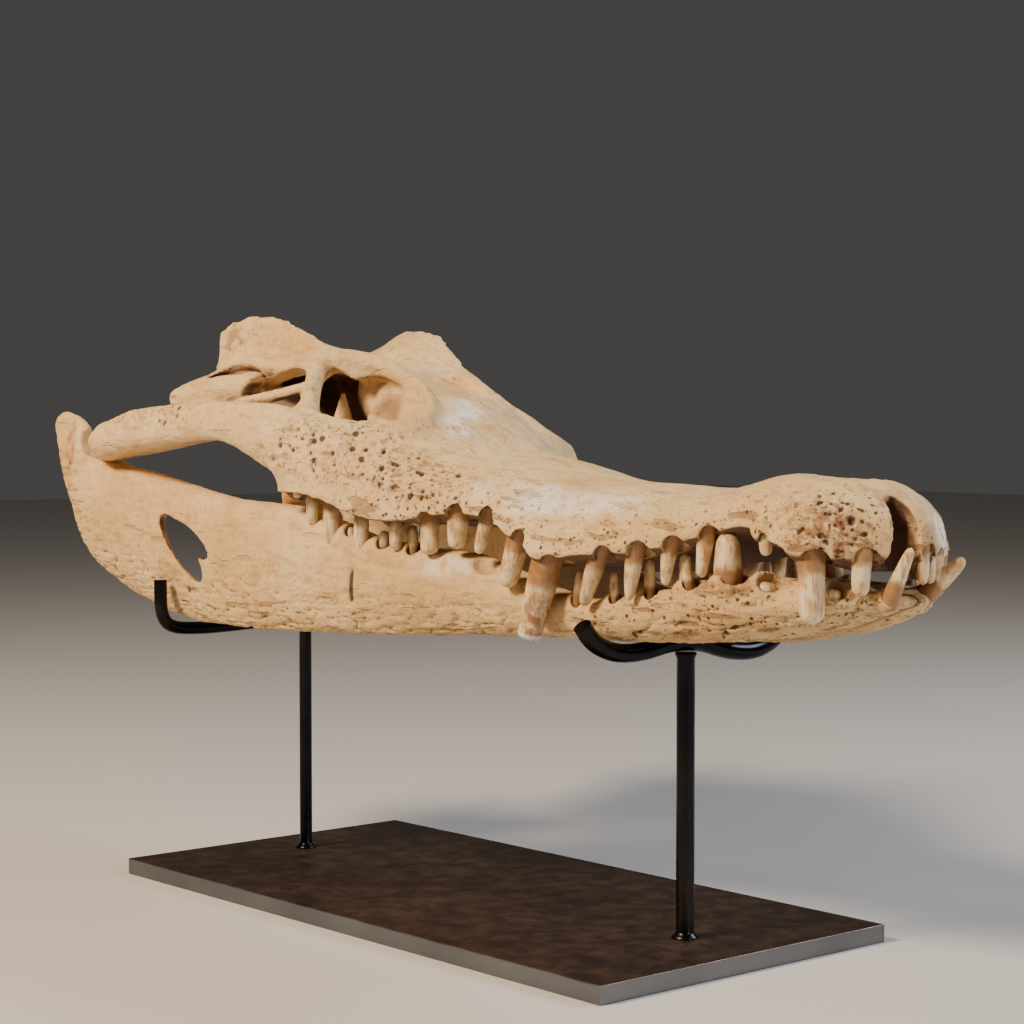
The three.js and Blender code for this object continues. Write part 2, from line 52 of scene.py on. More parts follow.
SNOUT = {  # x: half width, height of the tooth row, height of the back
    -58: (105, 241, 309), -30: (103, 239, 304), 0: (95, 230.5, 297.5), 12: (91, 228, 290),
    26: (87, 227.5, 280), 40: (83, 229, 272), 60: (77, 232.5, 268), 85: (73, 232.5, 263),
    112: (72, 223.5, 258), 138: (74, 212.5, 255.5), 165: (69, 215.5, 255),
    195: (60, 219, 253.5), 210: (55.5, 222, 253), 225: (50, 226.5, 254),
    240: (44.5, 231.5, 258), 256: (41.5, 234, 262), 275: (46.5, 228, 262),
    292: (50, 224.5, 262), 308: (45, 221, 259.5), 322: (34, 222, 253.5),
    332: (20, 224.5, 247), 338: (6, 227, 240),
}
TABLE = {  # x: half width, height in the middle, height at the rims, thickness there
    8: (22, 288, 288, 10), -8: (25, 297, 301, 12), -30: (28, 302, 309.5, 12),
    -58: (36, 311, 318, 12), -72: (50, 316, 322.5, 11), -92: (58, 321, 336.5, 13),
    -114: (60, 324, 345.5, 26), -140: (61, 326, 351, 32), -163: (64, 327, 348.5, 32),
    -181: (67, 326, 341, 25),
}
UPPER_TEETH = [  # x, y, lean, tip height, radius, side (0 both), taper, how full, amber, socket
    (335.3, -1.5, 0.9, 209.6, 3, 1, 0.25, 6, 0.0, 0.6), (332, 8, 1, 210, 3, 1, 0.25, 6, 0.0, 0.6),
    (331.5, 14, 1.5, 211, 3, 1, 0.25, 6, 0.0, 0.6), (320.3, 28, 0, 203, 5, 0, 0.25, 5, 0.3, 1.0),
    (299.5, 41, 2.4, 188.5, 6.7, -1, 0.22, 9, 0.9, 0.6), (299.5, 41, 1.2, 203, 6.7, 1, 0.22, 9, 0.9, 0.6),
    (269.5, 41, 0.5, 220, 3.4, 0, 0.1, 4, 0.1, 0.6),
    (230.8, 42, -3.8, 207, 4.5, 0, 0.45, 7, 0.4, 1.3), (211.5, 48, -4, 202, 5, 0, 0.7, 9, 0.4, 1.4),
    (192.4, 54, -4.6, 193, 5.4, 0, 0.7, 9, 0.5, 1.5), (172, 58, -14.5, 188.5, 5.2, 0, 0.5, 8, 0.3, 1.3),
    (137.9, 63.5, -16.7, 168, 8.2, 0, 0.3, 14, 1.5, 0.7), (113, 62, -12.5, 195, 6.8, 0, 0.35, 6, 1.0, 1.3),
    (86.3, 62, -11, 212, 4.5, 0, 0.45, 7, 0.3, 2.0), (62.2, 66, -0.4, 214, 5.7, 0, 0.12, 6, 0.0, 1.9),
    (42.1, 70, 1, 210, 5.3, 0, 0.08, 6, 0.5, 1.6), (17.8, 75, 1, 211, 3.6, 0, 0.1, 5, 0.3, 1.5),
    (-7.3, 80, 0.3, 207, 4.2, 0, 0.1, 5, 0.3, 1.6), (-29.2, 86, 1.5, 211, 4.5, 0, 0.1, 5, 0.2, 1.5),
    (-42.5, 90, 1, 223, 3.4, 0, 0.1, 5, 0.1, 1.4), (-52.5, 93, -0.7, 238, 3, 0, 0.1, 4, 0.9, 1.2),
]
ORBIT = (-33, 57, 70, 49)  # x, y, length, width


def smooth(table):
    """Values of a table of stations at any x, on a curve through all of them."""
    stations = sorted(table)
    knots = np.array(stations, float)
    rows = np.array([table[x] for x in stations], float)
    slopes = np.gradient(rows, knots, axis=0)

    def values(x):
        x = np.clip(np.asarray(x, float), knots[0], knots[-1])
        i = np.clip(np.searchsorted(knots, x) - 1, 0, len(knots) - 2)
        span = knots[i + 1] - knots[i]
        t = ((x - knots[i]) / span)[..., None]
        span = span[..., None]
        return ((2 * t**3 - 3 * t**2 + 1) * rows[i] + (t**3 - 2 * t**2 + t) * span * slopes[i]
                + (3 * t**2 - 2 * t**3) * rows[i + 1] + (t**3 - t**2) * span * slopes[i + 1])

    return values


snout_at = smooth(SNOUT)
table_at = smooth(TABLE)


def soft_min(a, b, blend):
    h = np.maximum(blend - np.abs(a - b), 0) / blend
    return np.minimum(a, b) - h * h * blend * 0.25


class Block:
    """A block of grid points that holds the distance to the surface of a body."""

    FAR = 20.0

    def __init__(self, low, high, pitch):
        self.pitch = pitch
        self.axes = [np.arange(lo, hi + pitch, pitch, dtype=np.float32)
                     for lo, hi in zip(low, high)]
        self.depth = np.full([len(a) for a in self.axes], self.FAR, np.float32)

    def window(self, low, high):
        spans = [slice(*np.searchsorted(a, (lo, hi))) for a, lo, hi in zip(self.axes, low, high)]
        shapes = [(-1, 1, 1), (1, -1, 1), (1, 1, -1)]
        return tuple(spans), [a[s].reshape(f) for a, s, f in zip(self.axes, spans, shapes)]

    def join(self, form, blend=6.0, sign=1):
        low, high, field = form
        spans, xyz = self.window(low, high)
        if self.depth[spans].size:
            self.depth[spans] = sign * soft_min(sign * self.depth[spans], field(*xyz), blend)

    def carve(self, form, blend):
        self.join(form, blend, -1)

    def sample(self, points):
        """Distance at any points, between those of the grid."""
        low = np.array([a[0] for a in self.axes])
        place = (points - low) / self.pitch
        cell = np.clip(np.floor(place).astype(int), 0, np.array(self.depth.shape) - 2)
        t = np.clip(place - cell, 0, 1)
        i, j, k = cell.T
        total = 0
        for a, b, c in product((0, 1), repeat=3):
            share = np.abs(1 - a - t[:, 0]) * np.abs(1 - b - t[:, 1]) * np.abs(1 - c - t[:, 2])
            total = total + share * self.depth[i + a, j + b, k + c]
        return total


def coarse(field):
    """The same field worked out at every second grid point, as bone has no sharp corners."""

    def finer(a, count):
        for axis in range(3):
            a = np.moveaxis(a, axis, 0)
            if len(a) > 1:
                full = np.empty((2 * len(a), *a.shape[1:]), np.float32)
                full[::2] = a
                full[1:-1:2] = (a[1:] + a[:-1]) / 2
                full[-1] = a[-1]
            else:
                full = np.repeat(a, 2, axis=0)
            a = np.moveaxis(full[:count[axis]], 0, axis)
        return a

    def values(x, y, z):
        rough = field(x[::2], y[:, ::2], z[:, :, ::2])
        return finer(rough, (x.shape[0], y.shape[1], z.shape[2]))

    return values


def knob(centre, radii):
    """Ellipsoid, for swellings and hollows."""
    c, r = np.array(centre, float), np.array(radii, float)

    def field(x, y, z):
        p = [(v - m) / s for v, m, s in zip((x, y, z), c, r)]
        k = np.sqrt(p[0]**2 + p[1]**2 + p[2]**2) + 1e-6
        g = np.sqrt((p[0] / r[0])**2 + (p[1] / r[1])**2 + (p[2] / r[2])**2) + 1e-6
        return k * (k - 1) / g

    return c - r - 14, c + r + 14, field


BAR_STEP = 5.0  # between the places where a bar's path is worked out


def bar(stations):
    """Bar of oval section on a smooth path through stations x, y, z, width, height."""
    rows = np.array(stations, float)
    way = np.concatenate([[0], np.cumsum(np.linalg.norm(np.diff(rows[:, :3], axis=0), axis=1))])
    curve = smooth(dict(zip(way, map(tuple, rows))))
    path = curve(np.linspace(0, way[-1], max(3, int(way[-1] / BAR_STEP))))

    def field(x, y, z):
        best = np.full(np.broadcast(x, y, z).shape, 1e3, np.float32)
        for a, b in zip(path[:-1], path[1:]):
            reach = max(a[3], a[4], b[3], b[4]) + 16
            lo = np.minimum(a[:3], b[:3]) - reach
            hi = np.maximum(a[:3], b[:3]) + reach
            sx = slice(*np.searchsorted(x[:, 0, 0], (lo[0], hi[0])))
            sy = slice(*np.searchsorted(y[0, :, 0], (lo[1], hi[1])))
            sz = slice(*np.searchsorted(z[0, 0, :], (lo[2], hi[2])))
            px, py, pz = x[sx], y[:, sy], z[:, :, sz]
            if not (px.size and py.size and pz.size):
                continue
            d = b[:3] - a[:3]
            long = np.linalg.norm(d)
            along = d / long
            upright = np.array([1, 0, 0]) if abs(along[2]) > 0.9 else np.array([0, 0, 1])
            across = np.cross(upright, along)
            across /= np.linalg.norm(across)
            up = np.cross(along, across)
            vx, vy, vz = px - a[0], py - a[1], pz - a[2]
            t = vx * along[0] + vy * along[1] + vz * along[2]
            t = np.clip(t / long, 0, 1)
            vx = vx - t * d[0]
            vy = vy - t * d[1]
            vz = vz - t * d[2]
            wide = a[3] + t * (b[3] - a[3])
            tall = a[4] + t * (b[4] - a[4])
            u = (vx * across[0] + vy * across[1] + vz * across[2]) / wide
            w = (vx * up[0] + vy * up[1] + vz * up[2]) / tall
            e = (vx * along[0] + vy * along[1] + vz * along[2]) / np.minimum(wide, tall)
            k = np.sqrt(u * u + w * w + e * e) + 1e-4
            size = np.sqrt(vx * vx + vy * vy + vz * vz) + 1e-4
            best[sx, sy, sz] = np.minimum(best[sx, sy, sz], (k - 1) * size / k)
        return best

    reach = rows[:, 3:].max() + 14
    return rows[:, :3].min(0) - reach, rows[:, :3].max(0) + reach, coarse(field)


def oval(u, v, long, wide):
    """Distance to the edge of an oval of that length and width."""
    k = np.sqrt((u / (long / 2))**2 + (v / (wide / 2))**2) + 1e-6
    g = np.sqrt((u / (long / 2)**2)**2 + (v / (wide / 2)**2)**2) + 1e-6
    return k * (k - 1) / g


def well(x, y, long, wide, low, high, tilt=0.0):
    """Upright oval well, turned by tilt."""

    def field(px, py, pz):
        edge = oval(px - x, py - y + tilt * (px - x), long, wide)
        return np.maximum(edge, np.maximum(low - pz, pz - high))

    reach = max(long, wide) / 2 + 14
    corner = np.array([reach, reach, 8])
    return np.array([x, y, low]) - corner, np.array([x, y, high]) + corner, field


def loft(low, high, first, last, rings):
    """Body between two stations, whose closed outline rings(x) is given as y and z points."""

    def field(x, y, z):
        outline = rings(x[:, 0, 0])
        nearest = np.full(np.broadcast(x, y, z).shape, 1e6, np.float32)
        inside = np.zeros(nearest.shape, bool)
        count = outline.shape[1]
        for i in range(count):
            ay, az = outline[:, i, 0, None, None], outline[:, i, 1, None, None]
            by, bz = outline[:, (i + 1) % count, 0, None, None], outline[:, (i + 1) % count, 1, None, None]
            ey, ez = by - ay, bz - az
            wy, wz = y - ay, z - az
            t = np.clip((wy * ey + wz * ez) / (ey * ey + ez * ez + 1e-9), 0, 1)
            nearest = np.minimum(nearest, (wy - t * ey)**2 + (wz - t * ez)**2)
            crosses = ((az > z) != (bz > z)) & (y < ey * (z - az) / np.where(ez == 0, 1e-9, ez) + ay)
            inside ^= crosses
        depth = np.sqrt(nearest)
        depth = np.where(inside, -depth, depth)
        return np.maximum(depth, np.maximum(x - last, first - x)).astype(np.float32)

    return np.array(low, float), np.array(high, float), coarse(field)


def snout_rings(x):
    half, margin, top = snout_at(x).T
    a = np.linspace(0, np.pi, 49)
    y = half[:, None] * np.cos(a)
    z = margin[:, None] + (top - margin)[:, None] * np.sin(a).clip(0)**0.8
    share = np.linspace(-0.9, 0.9, 9)
    yb = half[:, None] * share
    arch = np.interp(x, (-20, 60, 330), (7, -6, -6))
    zb = margin[:, None] + arch[:, None] * (1 - np.abs(share)**3.5)
    return np.stack([np.hstack([y, yb]), np.hstack([z, zb])], 2)


def table_rings(x):
    half, mid, edge, thick = (v[:, None] for v in table_at(x).T)
    share = np.linspace(1, -1, 17)
    low = mid - 10
    over = mid + (edge - mid) * np.abs(share)**2.5
    under = low + (edge - thick - low) * share**2
    return np.stack([np.hstack([half * share, half * share[::-1]]),
                     np.hstack([over, under[:, ::-1]])], 2)


def model_cranium(block):
    """The bone of one side, on a block whose y runs outwards from the middle."""
    block.join(loft((-80, -5, 200), (345, 125, 325), -58, 338, snout_rings))
    block.join(loft((-190, -5, 280), (20, 80, 360), -181, 8, table_rings), 7)
    for stations, blend in (
        # braincase, its keel and the palatines
        ([(-94, 0, 290, 14, 22), (-115, 0, 290, 27, 30), (-145, 0, 290, 34, 36), (-180, 0, 290, 32, 34)], 8),
        ([(-176, 0, 262, 24, 20), (-166, 0, 243, 22, 9)], 8),
        ([(0, 0, 238, 26, 9), (-40, 0, 240, 18, 9), (-90, 0, 246, 22, 9), (-150, 0, 262, 28, 14)], 8),
        # pterygoid wing, the strut to the cheek and the pillar in front of the braincase
        ([(-104, 8, 250, 34, 6), (-106, 34, 240, 30, 5), (-108, 56, 224, 24, 5), (-108, 62, 213, 15, 4)], 6),
        ([(-92, 64, 218, 8, 6), (-76, 78, 240, 8, 6), (-56, 92, 254, 10, 7)], 8),
        # lower bar of the cheek
        ([(-22, 88, 258, 9, 18), (-62, 102, 273, 9, 19), (-100, 112, 281.5, 7, 12), (-150, 117, 280, 6, 12),
          (-200, 117, 275.5, 7, 12), (-234, 113, 269, 8, 11.5)], 8),
        # quadrate, bar behind the eye and process of the back corner
        ([(-122, 30, 302, 14, 16), (-152, 60, 292, 20, 15), (-190, 84, 279, 24, 12),
          (-226, 100, 270.5, 19, 11), (-240, 106, 268, 17, 10.5), (-247, 108, 267.5, 12, 7)], 7),
        ([(-156, 20, 304, 14, 18), (-163, 56, 308, 13, 15), (-177, 78, 300.5, 11, 9.5),
          (-188, 90, 297, 8, 6)], 6),
        # side wall under the table, as far as the cheek bar
        ([(-172, 62, 316, 7, 11), (-150, 62, 315, 7, 11), (-120, 62, 315, 7, 9), (-90, 62, 315, 7, 6)], 6),
        ([(-182, 82, 298, 9, 7), (-160, 80, 302, 10, 9), (-140, 77, 304, 9, 10), (-124, 76, 306, 6, 8)], 7),
        # raised rim of the orbit: cheek side, front, and brow
        ([(-78, 83, 283, 6, 8), (-55, 87, 283, 6, 8), (-37, 84, 279, 6, 8), (-20, 80, 276.5, 6, 8),
          (-6, 72, 276.5, 6, 8), (4, 62, 278.5, 6, 7), (8, 51, 282, 6, 7), (2, 42, 289, 6, 6),
          (-12, 35, 299, 6, 5.5), (-34, 31, 310.5, 6, 5), (-54, 32, 319, 6, 5), (-72, 42, 323, 6, 5.5),
          (-85, 52, 323, 7, 7)], 6),
    ):
        block.join(bar(stations), blend)
    block.join(knob((-190, 0, 284), (13, 14, 12)), 5)


def carve_cranium(block):
    """Openings of one side, then the thin bars and the wall that cross them."""
    x, y, long, wide = ORBIT
    block.carve(well(282, 0, 40, 30, 240, 275), 6)
    block.carve(well(x, y, long, wide, 215, 345, 0.15), 5)
    block.carve(bar([(-106, 33, 300, 12, 11), (-95, 34, 293, 13, 18), (-86, 34, 270, 12, 20)]), 4)
    block.carve(bar([(-70, 36, 301, 9, 13), (-46, 32, 297, 9, 11), (-27, 34, 288, 8, 10),
                     (-15, 38, 282, 7, 8)]), 3)
    block.carve(knob((-80, 52, 295), (17, 24, 21)), 4)
    block.carve(bar([(-129, 74, 300, 18, 2.5), (-119, 73, 303.5, 24, 6), (-106, 74, 306, 24, 8),
                     (-93, 75, 308, 22, 8.5), (-83, 76, 308.5, 18, 7)]), 2)
    block.carve(bar([(-106, 92, 294, 9, 1.4), (-90, 91, 295.4, 10, 3), (-77, 89, 297, 9, 4.4)]), 2)
    block.carve(bar([(-190, 103, 296.5, 9, 2), (-160, 103, 297.5, 8, 2.5), (-120, 103, 297.5, 8, 1.5)]), 3)
    block.carve(bar([(-172, 75, 308, 4, 2.5), (-160, 74, 312.5, 8, 5), (-147, 73, 314, 8, 4.5),
                     (-132, 73, 311, 6, 2)]), 4)
    block.carve(well(-128, 29, 34, 22, 300, 360), 5)
    block.join(bar([(-90, 35, 303, 1.6, 1.6), (-89, 35, 294, 5, 3.5), (-88, 35, 285, 8, 5),
                    (-85, 34, 262, 14, 8)]), 3)
    block.join(bar([(-84, 22, 303, 6, 13), (-66, 23, 297, 6, 17), (-51, 25, 288, 6, 20),
                    (-34, 28, 280, 7, 22), (-16, 33, 276, 8, 18)]), 6)
    block.join(bar([(-92, 50, 319, 9, 8), (-84, 60, 313, 6, 7), (-75, 69, 304, 5, 7.5),
                    (-69, 75, 294, 5.5, 9), (-63, 81, 285, 8, 9)]), 5)
    block.join(bar([(-68, 76, 304, 4.4, 3.8), (-82, 81, 300.5, 4.2, 3.5), (-96, 87, 297.2, 4.2, 3.3),
                    (-116, 94, 293.5, 5, 3)]), 3)


def doubled(block):
    """The whole body from the block of one side."""
    other = Block([block.axes[0][0], -block.axes[1][-1], block.axes[2][0]],
                  [block.axes[0][-1], -block.axes[1][-1], block.axes[2][-1]], block.pitch)
    other.axes = [block.axes[0], np.concatenate([-block.axes[1][:0:-1], block.axes[1]]), block.axes[2]]
    other.depth = np.concatenate([block.depth[:, :0:-1], block.depth], 1)
    return other


def net(block):
    """Vertices and outward quads of the surface at distance zero."""
    depth = block.depth
    inside = depth < 0
    corners = list(product((0, 1), repeat=3))
    cells = tuple(n - 1 for n in depth.shape)
    filled = sum(inside[a:a + cells[0], b:b + cells[1], c:c + cells[2]].astype(np.int8)
                 for a, b, c in corners)
    active = (filled > 0) & (filled < 8)
    where = np.argwhere(active)
    number = np.full(cells, -1, np.int32)
    number[active] = np.arange(len(where))
    total = np.zeros((len(where), 3))
    count = np.zeros(len(where))
    for start in corners:
        for axis in range(3):
            if start[axis]:
                continue
            end = list(start)
            end[axis] = 1
            a = depth[tuple((where + start).T)]
            b = depth[tuple((where + end).T)]
            cross = (a < 0) != (b < 0)
            t = np.where(cross, a / np.where(cross, a - b, 1), 0)
            spot = np.array(start, float)[None] + 0 * total
            spot[:, axis] = t
            total += spot * cross[:, None]
            count += cross
    low = np.array([a[0] for a in block.axes])
    points = low + block.pitch * (where + total / count[:, None])
    quads = []
    for axis in range(3):
        u, v = (axis + 1) % 3, (axis + 2) % 3
        n = depth.shape[axis]
        here = np.take(inside, range(n - 1), axis)
        edge = np.argwhere(here != np.take(inside, range(1, n), axis))
        edge = edge[(edge[:, u] > 0) & (edge[:, v] > 0) & (edge[:, u] < cells[u]) & (edge[:, v] < cells[v])]
        du, dv = np.eye(3, dtype=int)[u], np.eye(3, dtype=int)[v]
        ring = np.stack([number[tuple((edge - s).T)] for s in (0 * du, du, du + dv, dv)], 1)
        flip = ~here[tuple(edge.T)]
        ring[flip] = ring[flip, ::-1]
        quads.append(ring)
    return points, np.concatenate(quads)


def chance(i, j, k, seed):
    """Repeatable number from 0 to 1 for each lattice point."""
    h = (i.astype(np.uint32) * np.uint32(73856093)) ^ (j.astype(np.uint32) * np.uint32(19349663))
    h ^= (k.astype(np.uint32) * np.uint32(83492791)) ^ np.uint32(seed * 2654435 + 97)
    h = (h ^ (h >> np.uint32(13))) * np.uint32(1274126177)
    h = (h ^ (h >> np.uint32(15))) * np.uint32(2246822519)
    return ((h >> np.uint32(8)) & np.uint32(0xFFFF)).astype(np.float32) / 65535


def ripple(points, size, seed=1):
    """Smooth noise from -1 to 1 with waves of a given size, or sizes along x, y and z."""
    p = points / np.array(size, float)
    cell = np.floor(p).astype(np.int64)
    t = p - cell
    t = t * t * (3 - 2 * t)
    total = 0
    for a, b, c in product((0, 1), repeat=3):
        share = np.abs(1 - a - t[:, 0]) * np.abs(1 - b - t[:, 1]) * np.abs(1 - c - t[:, 2])
        total = total + share * chance(cell[:, 0] + a, cell[:, 1] + b, cell[:, 2] + c, seed)
    return total * 2 - 1


def dimples(points, spacing, radius, seed=1):
    """Depth from 0 to 1 of round pits that lie about one spacing apart."""
    p = points / spacing
    cell = np.floor(p).astype(np.int64)
    deep = np.zeros(len(points), np.float32)
    for a, b, c in product((-1, 0, 1), repeat=3):
        i, j, k = cell[:, 0] + a, cell[:, 1] + b, cell[:, 2] + c
        spot = np.stack([i + chance(i, j, k, seed), j + chance(i, j, k, seed + 1),
                         k + chance(i, j, k, seed + 2)], 1)
        far = np.linalg.norm(points - spot * spacing, axis=1)
        size = radius * (0.55 + 0.75 * chance(i, j, k, seed + 3))
        deep = np.maximum(deep, np.clip(1 - far / size, 0, 1))
    return deep * deep * (3 - 2 * deep)


def near(points, centre, radii):
    """1 in the middle of an oval patch, falling softly to 0 at its edge."""
    d = np.linalg.norm((points - np.array(centre, float)) / np.array(radii, float), axis=1)
    t = np.clip(1 - d, 0, 1)
    return t * t * (3 - 2 * t)


def leaned(points, aside=LEAN_ASIDE):
    """From the skull's own millimetres to the metres of the stand."""
    c, s = math.cos(LEAN_ROLL), math.sin(LEAN_ROLL)
    x, y, z = points[:, 0], points[:, 1] + aside, points[:, 2] - LEAN_HEIGHT
    return np.stack([x, c * y - s * z, s * y + c * z + LEAN_HEIGHT], 1) / 1000


def placed(name, data):
    """Object in the scene that holds a finished mesh, lamp or camera."""
    thing = bpy.data.objects.new(name, data)
    bpy.context.scene.collection.objects.link(thing)
    return thing


def new_mesh(name, points, faces, marks):
    """Smooth mesh object from metres and faces of equal length, with marks on its points."""
    mesh = bpy.data.meshes.new(name)
    size = faces.shape[1]
    mesh.vertices.add(len(points))
    mesh.vertices.foreach_set("co", points.astype(np.float32).ravel())
    mesh.loops.add(faces.size)
    mesh.loops.foreach_set("vertex_index", faces.astype(np.int32).ravel())
    mesh.polygons.add(len(faces))
    mesh.polygons.foreach_set("loop_start", np.arange(0, faces.size, size, dtype=np.int32))
    mesh.update(calc_edges=True)
    mesh.validate()
    mesh.polygons.foreach_set("use_smooth", np.ones(len(mesh.polygons), bool))
    for mark, values in marks.items():
        layer = mesh.attributes.new(mark, "FLOAT", "POINT")
        layer.data.foreach_set("value", values.astype(np.float32))
    return placed(name, mesh)


def slopes(block, points):
    """Outward directions at points near the surface."""
    g = np.stack([block.sample(points + s) - block.sample(points - s) for s in np.eye(3)], 1)
    return g / (np.linalg.norm(g, axis=1, keepdims=True) + 1e-9)


def openness(block, points, out, reaches=(9.0, 4.5)):
    """1 on open ground and 0 deep in a recess that is about a reach wide."""
    shares = [block.sample(points + out * reach) / reach for reach in reaches]
    return np.clip(np.minimum(*shares), 0, 1)


def patch(points, *ovals):
    """1 inside soft oval patches, given as middle and half sizes, and 0 outside."""
    return np.clip(sum(2.2 * near(points, middle, sizes) for middle, sizes in ovals), 0, 1)


def cranium_relief(points, out, hollow):
    """Height in millimetres to add, and the marks that the bone material reads. The mark hollow is painted
    shade.
    """
    x, y, z = points.T
    mirror = np.stack([x, np.abs(y), z], 1)
    half, margin, top = snout_at(x).T
    snout = np.clip((x + 40) / 60, 0, 1)
    # inner and palate mark the underside between the tooth rows, which gets painted shade below
    inner = np.clip((margin - 0.5 - z) / 2, 0, 1) * np.clip((0.84 * half - mirror[:, 1]) / 4, 0, 1)
    palate = np.clip(-out[:, 2] * 2.2 - 0.6, 0, 1) * (z < margin + 12)
    inner = np.maximum(inner, palate) * (x > -70)
    rough = patch(mirror, ((-20, 92, 268), (92, 44, 32)), ((-170, 112, 285), (90, 24, 20)),
                  ((-140, 60, 334), (62, 18, 14)), ((312, 40, 234), (36, 24, 30)),
                  ((40, 74, 250), (60, 26, 26)))
    knobby = patch(mirror, ((312, 40, 234), (34, 24, 30)))
    rough = np.maximum(rough * np.where(z > 325, 0.45, 1), 0.15)
    pored = np.clip(snout * (1.15 - (z - margin) / np.maximum(top - margin, 1)), 0, 1)
    pored = np.maximum(pored, patch(mirror, ((315, 34, 236), (40, 34, 34))))
    pored = np.clip(pored * (1 - inner), 0, 1)
    stained = patch(points, ((284, -45, 240), (17, 16, 13)), ((308, -42, 232), (32, 20, 24)),
                    ((138, -64, 214), (20, 16, 12)), ((-170, -64, 336), (18, 12, 14)))
    stained = stained * np.clip(0.55 + ripple(points, 7, 71), 0, 1)
    # Pale patches, partly bleaching and partly painted highlight, on the right side of the snout and brow and
    # at the snout tip
    bleach_and_painted_highlight = patch(points, ((130, -60, 244), (95, 34, 14)), ((17, -38, 281), (22, 16, 12)),
                     ((336, 16, 235), (22, 16, 34)), ((-3, -20, 292), (30, 26, 14)))
    bleach_and_painted_highlight = bleach_and_painted_highlight * np.clip(0.6 + ripple(points, 16, 72), 0, 1)
    tone = ripple(points, 38, 3) * 0.7 + ripple(points, 15, 4) * 0.45 + ripple(points, 6, 5) * 0.25
    worm = np.abs(ripple(points, (8, 5, 5), 21)) + 0.5 * np.abs(ripple(points, 3.6, 22))
    gouges = np.clip(0.3 - worm, 0, 1) / 0.3
    pits = np.maximum(dimples(points, 7.0, 2.9, 11), 0.7 * dimples(points, 4.5, 1.7, 12))
    streak = ripple(points, (34, 4.5, 4), 23) * snout
    crowd = np.clip(0.9 + ripple(points, 13, 74), 0, 1)
    fine = np.maximum(dimples(points, 5.4, 1.4, 31) * pored * crowd, dimples(points, 4.2, 2.0, 33) * knobby)
    height = (tone * 0.55 - rough * (pits * 1.7 + gouges * 1.1) - fine * 0.8 + streak * 0.28
              + ripple(points, 3.2, 24) * 0.16)
    pit = np.clip((pits * rough**1.5 + fine) * 1.1 + gouges * rough * 0.4, 0, 1)
    # Painted shade: deep darkens the insides of the orbits and the space behind them, slits on the cheek and
    # under the table, and the slit at the snout tip
    deep = patch(mirror, ((-99, 20, 296), (37, 15, 28)), ((-124, 20, 300), (30, 26, 28)),
                 ((-108, 50, 304), (36, 15, 16)), ((-86, 82, 295), (26, 8, 5)))
    deep = np.maximum(deep, 0.4 * patch(mirror, ((-148, 66, 315), (22, 6, 6))))
    deep = np.maximum(deep, 0.95 * patch(points, ((322, -7, 232), (13, 10, 30))))
    # Painted shade: darker in recesses by openness, under the palate and in the deep patches, lighter on the
    # orbit's inner wall, and darker again on that wall under the lip
    wall = patch(mirror, ((-44, 34, 288), (44, 17, 28)))
    shade = np.maximum(np.maximum((1 - hollow) * (1 - 0.75 * wall), 0.8 * inner), deep * (1 - wall))
    shade = np.maximum(shade, 0.62 * patch(mirror, ((-44, 24, 288), (44, 18, 28))) * (z < 306 + 0.1 * y))
    marks = {"hollow": shade, "pit": pit, "rough": rough, "pored": pored,
             "stained": stained, "bleach_and_painted_highlight": bleach_and_painted_highlight}
    return height * (0.35 + 0.65 * hollow), marks


FINE = 1.0


def socket_forms(x, y, z, radius, loose, down=-1):
    """Collar of bone round a tooth, and the open socket that the tooth stands loose in."""
    spare = 4.5 if x < 316 else 2.0
    collar = knob((x, y, z - down * 2.5), (radius + spare, radius + 0.6 * spare, 6.5))
    gap = knob((x + 0.8 * radius + 0.8 * loose, y + 2 * loose, z + down * 1.5),
               (radius * 0.8 + 0.6 + loose, radius + 0.4 + 2.6 * loose, 4.2 + 2 * loose))
    return collar, gap


def warped(points):
    """Points of the cranium with the left brow a little lower, as bone warps while it dries."""
    x, y, z = points.T
    reach = np.interp(x, (-125, -90, -45, 0, 36, 66), (0, 0.8, 0.78, 0.66, 1, 0))
    reach = reach * reach * (3 - 2 * reach)
    drop = 8.5 * reach * np.clip((y - 6) / 40, 0, 1)**1.3 * np.clip((z - 238) / 26, 0, 1)
    return points - drop[:, None] * np.array([0, 0, 1])


def cranium_piece(name, low, high, pitch, behind=None, front=None):
    """One length of the cranium, cut square across inside the bone where the next begins."""
    half = Block((low[0], 0, low[2]), high, pitch)
    model_cranium(half)
    carve_cranium(half)
    gaps = []
    for x, y, lean, tip, radius, side, taper, full, amber, loose in UPPER_TEETH:
        collar, gap = socket_forms(x, y, snout_at(x)[1], radius, loose)
        half.join(collar, 5)
        gaps.append(gap)
    for gap in gaps:
        half.carve(gap, 1.2)
    whole = doubled(half)
    carve_front(whole)
    points, quads = net(whole)
    out = slopes(whole, points)
    hollow = openness(whole, points, out)
    height, marks = cranium_relief(points, out, hollow)
    points = points + out * height[:, None]
    piece = new_mesh(name, leaned(warped(points)), quads, marks)
    cut_square(piece, behind, front)
    return piece


def carve_front(block):
    """The slit at the front of the snout, beside its middle."""
    block.carve(bar([(334, -13.5, 200, 8.5, 18), (334, -13.5, 220, 7.4, 18), (333, -12.5, 232, 6.6, 18),
                     (330, -12, 243, 5.6, 17), (325, -12, 250, 4, 14)]), 1.5)


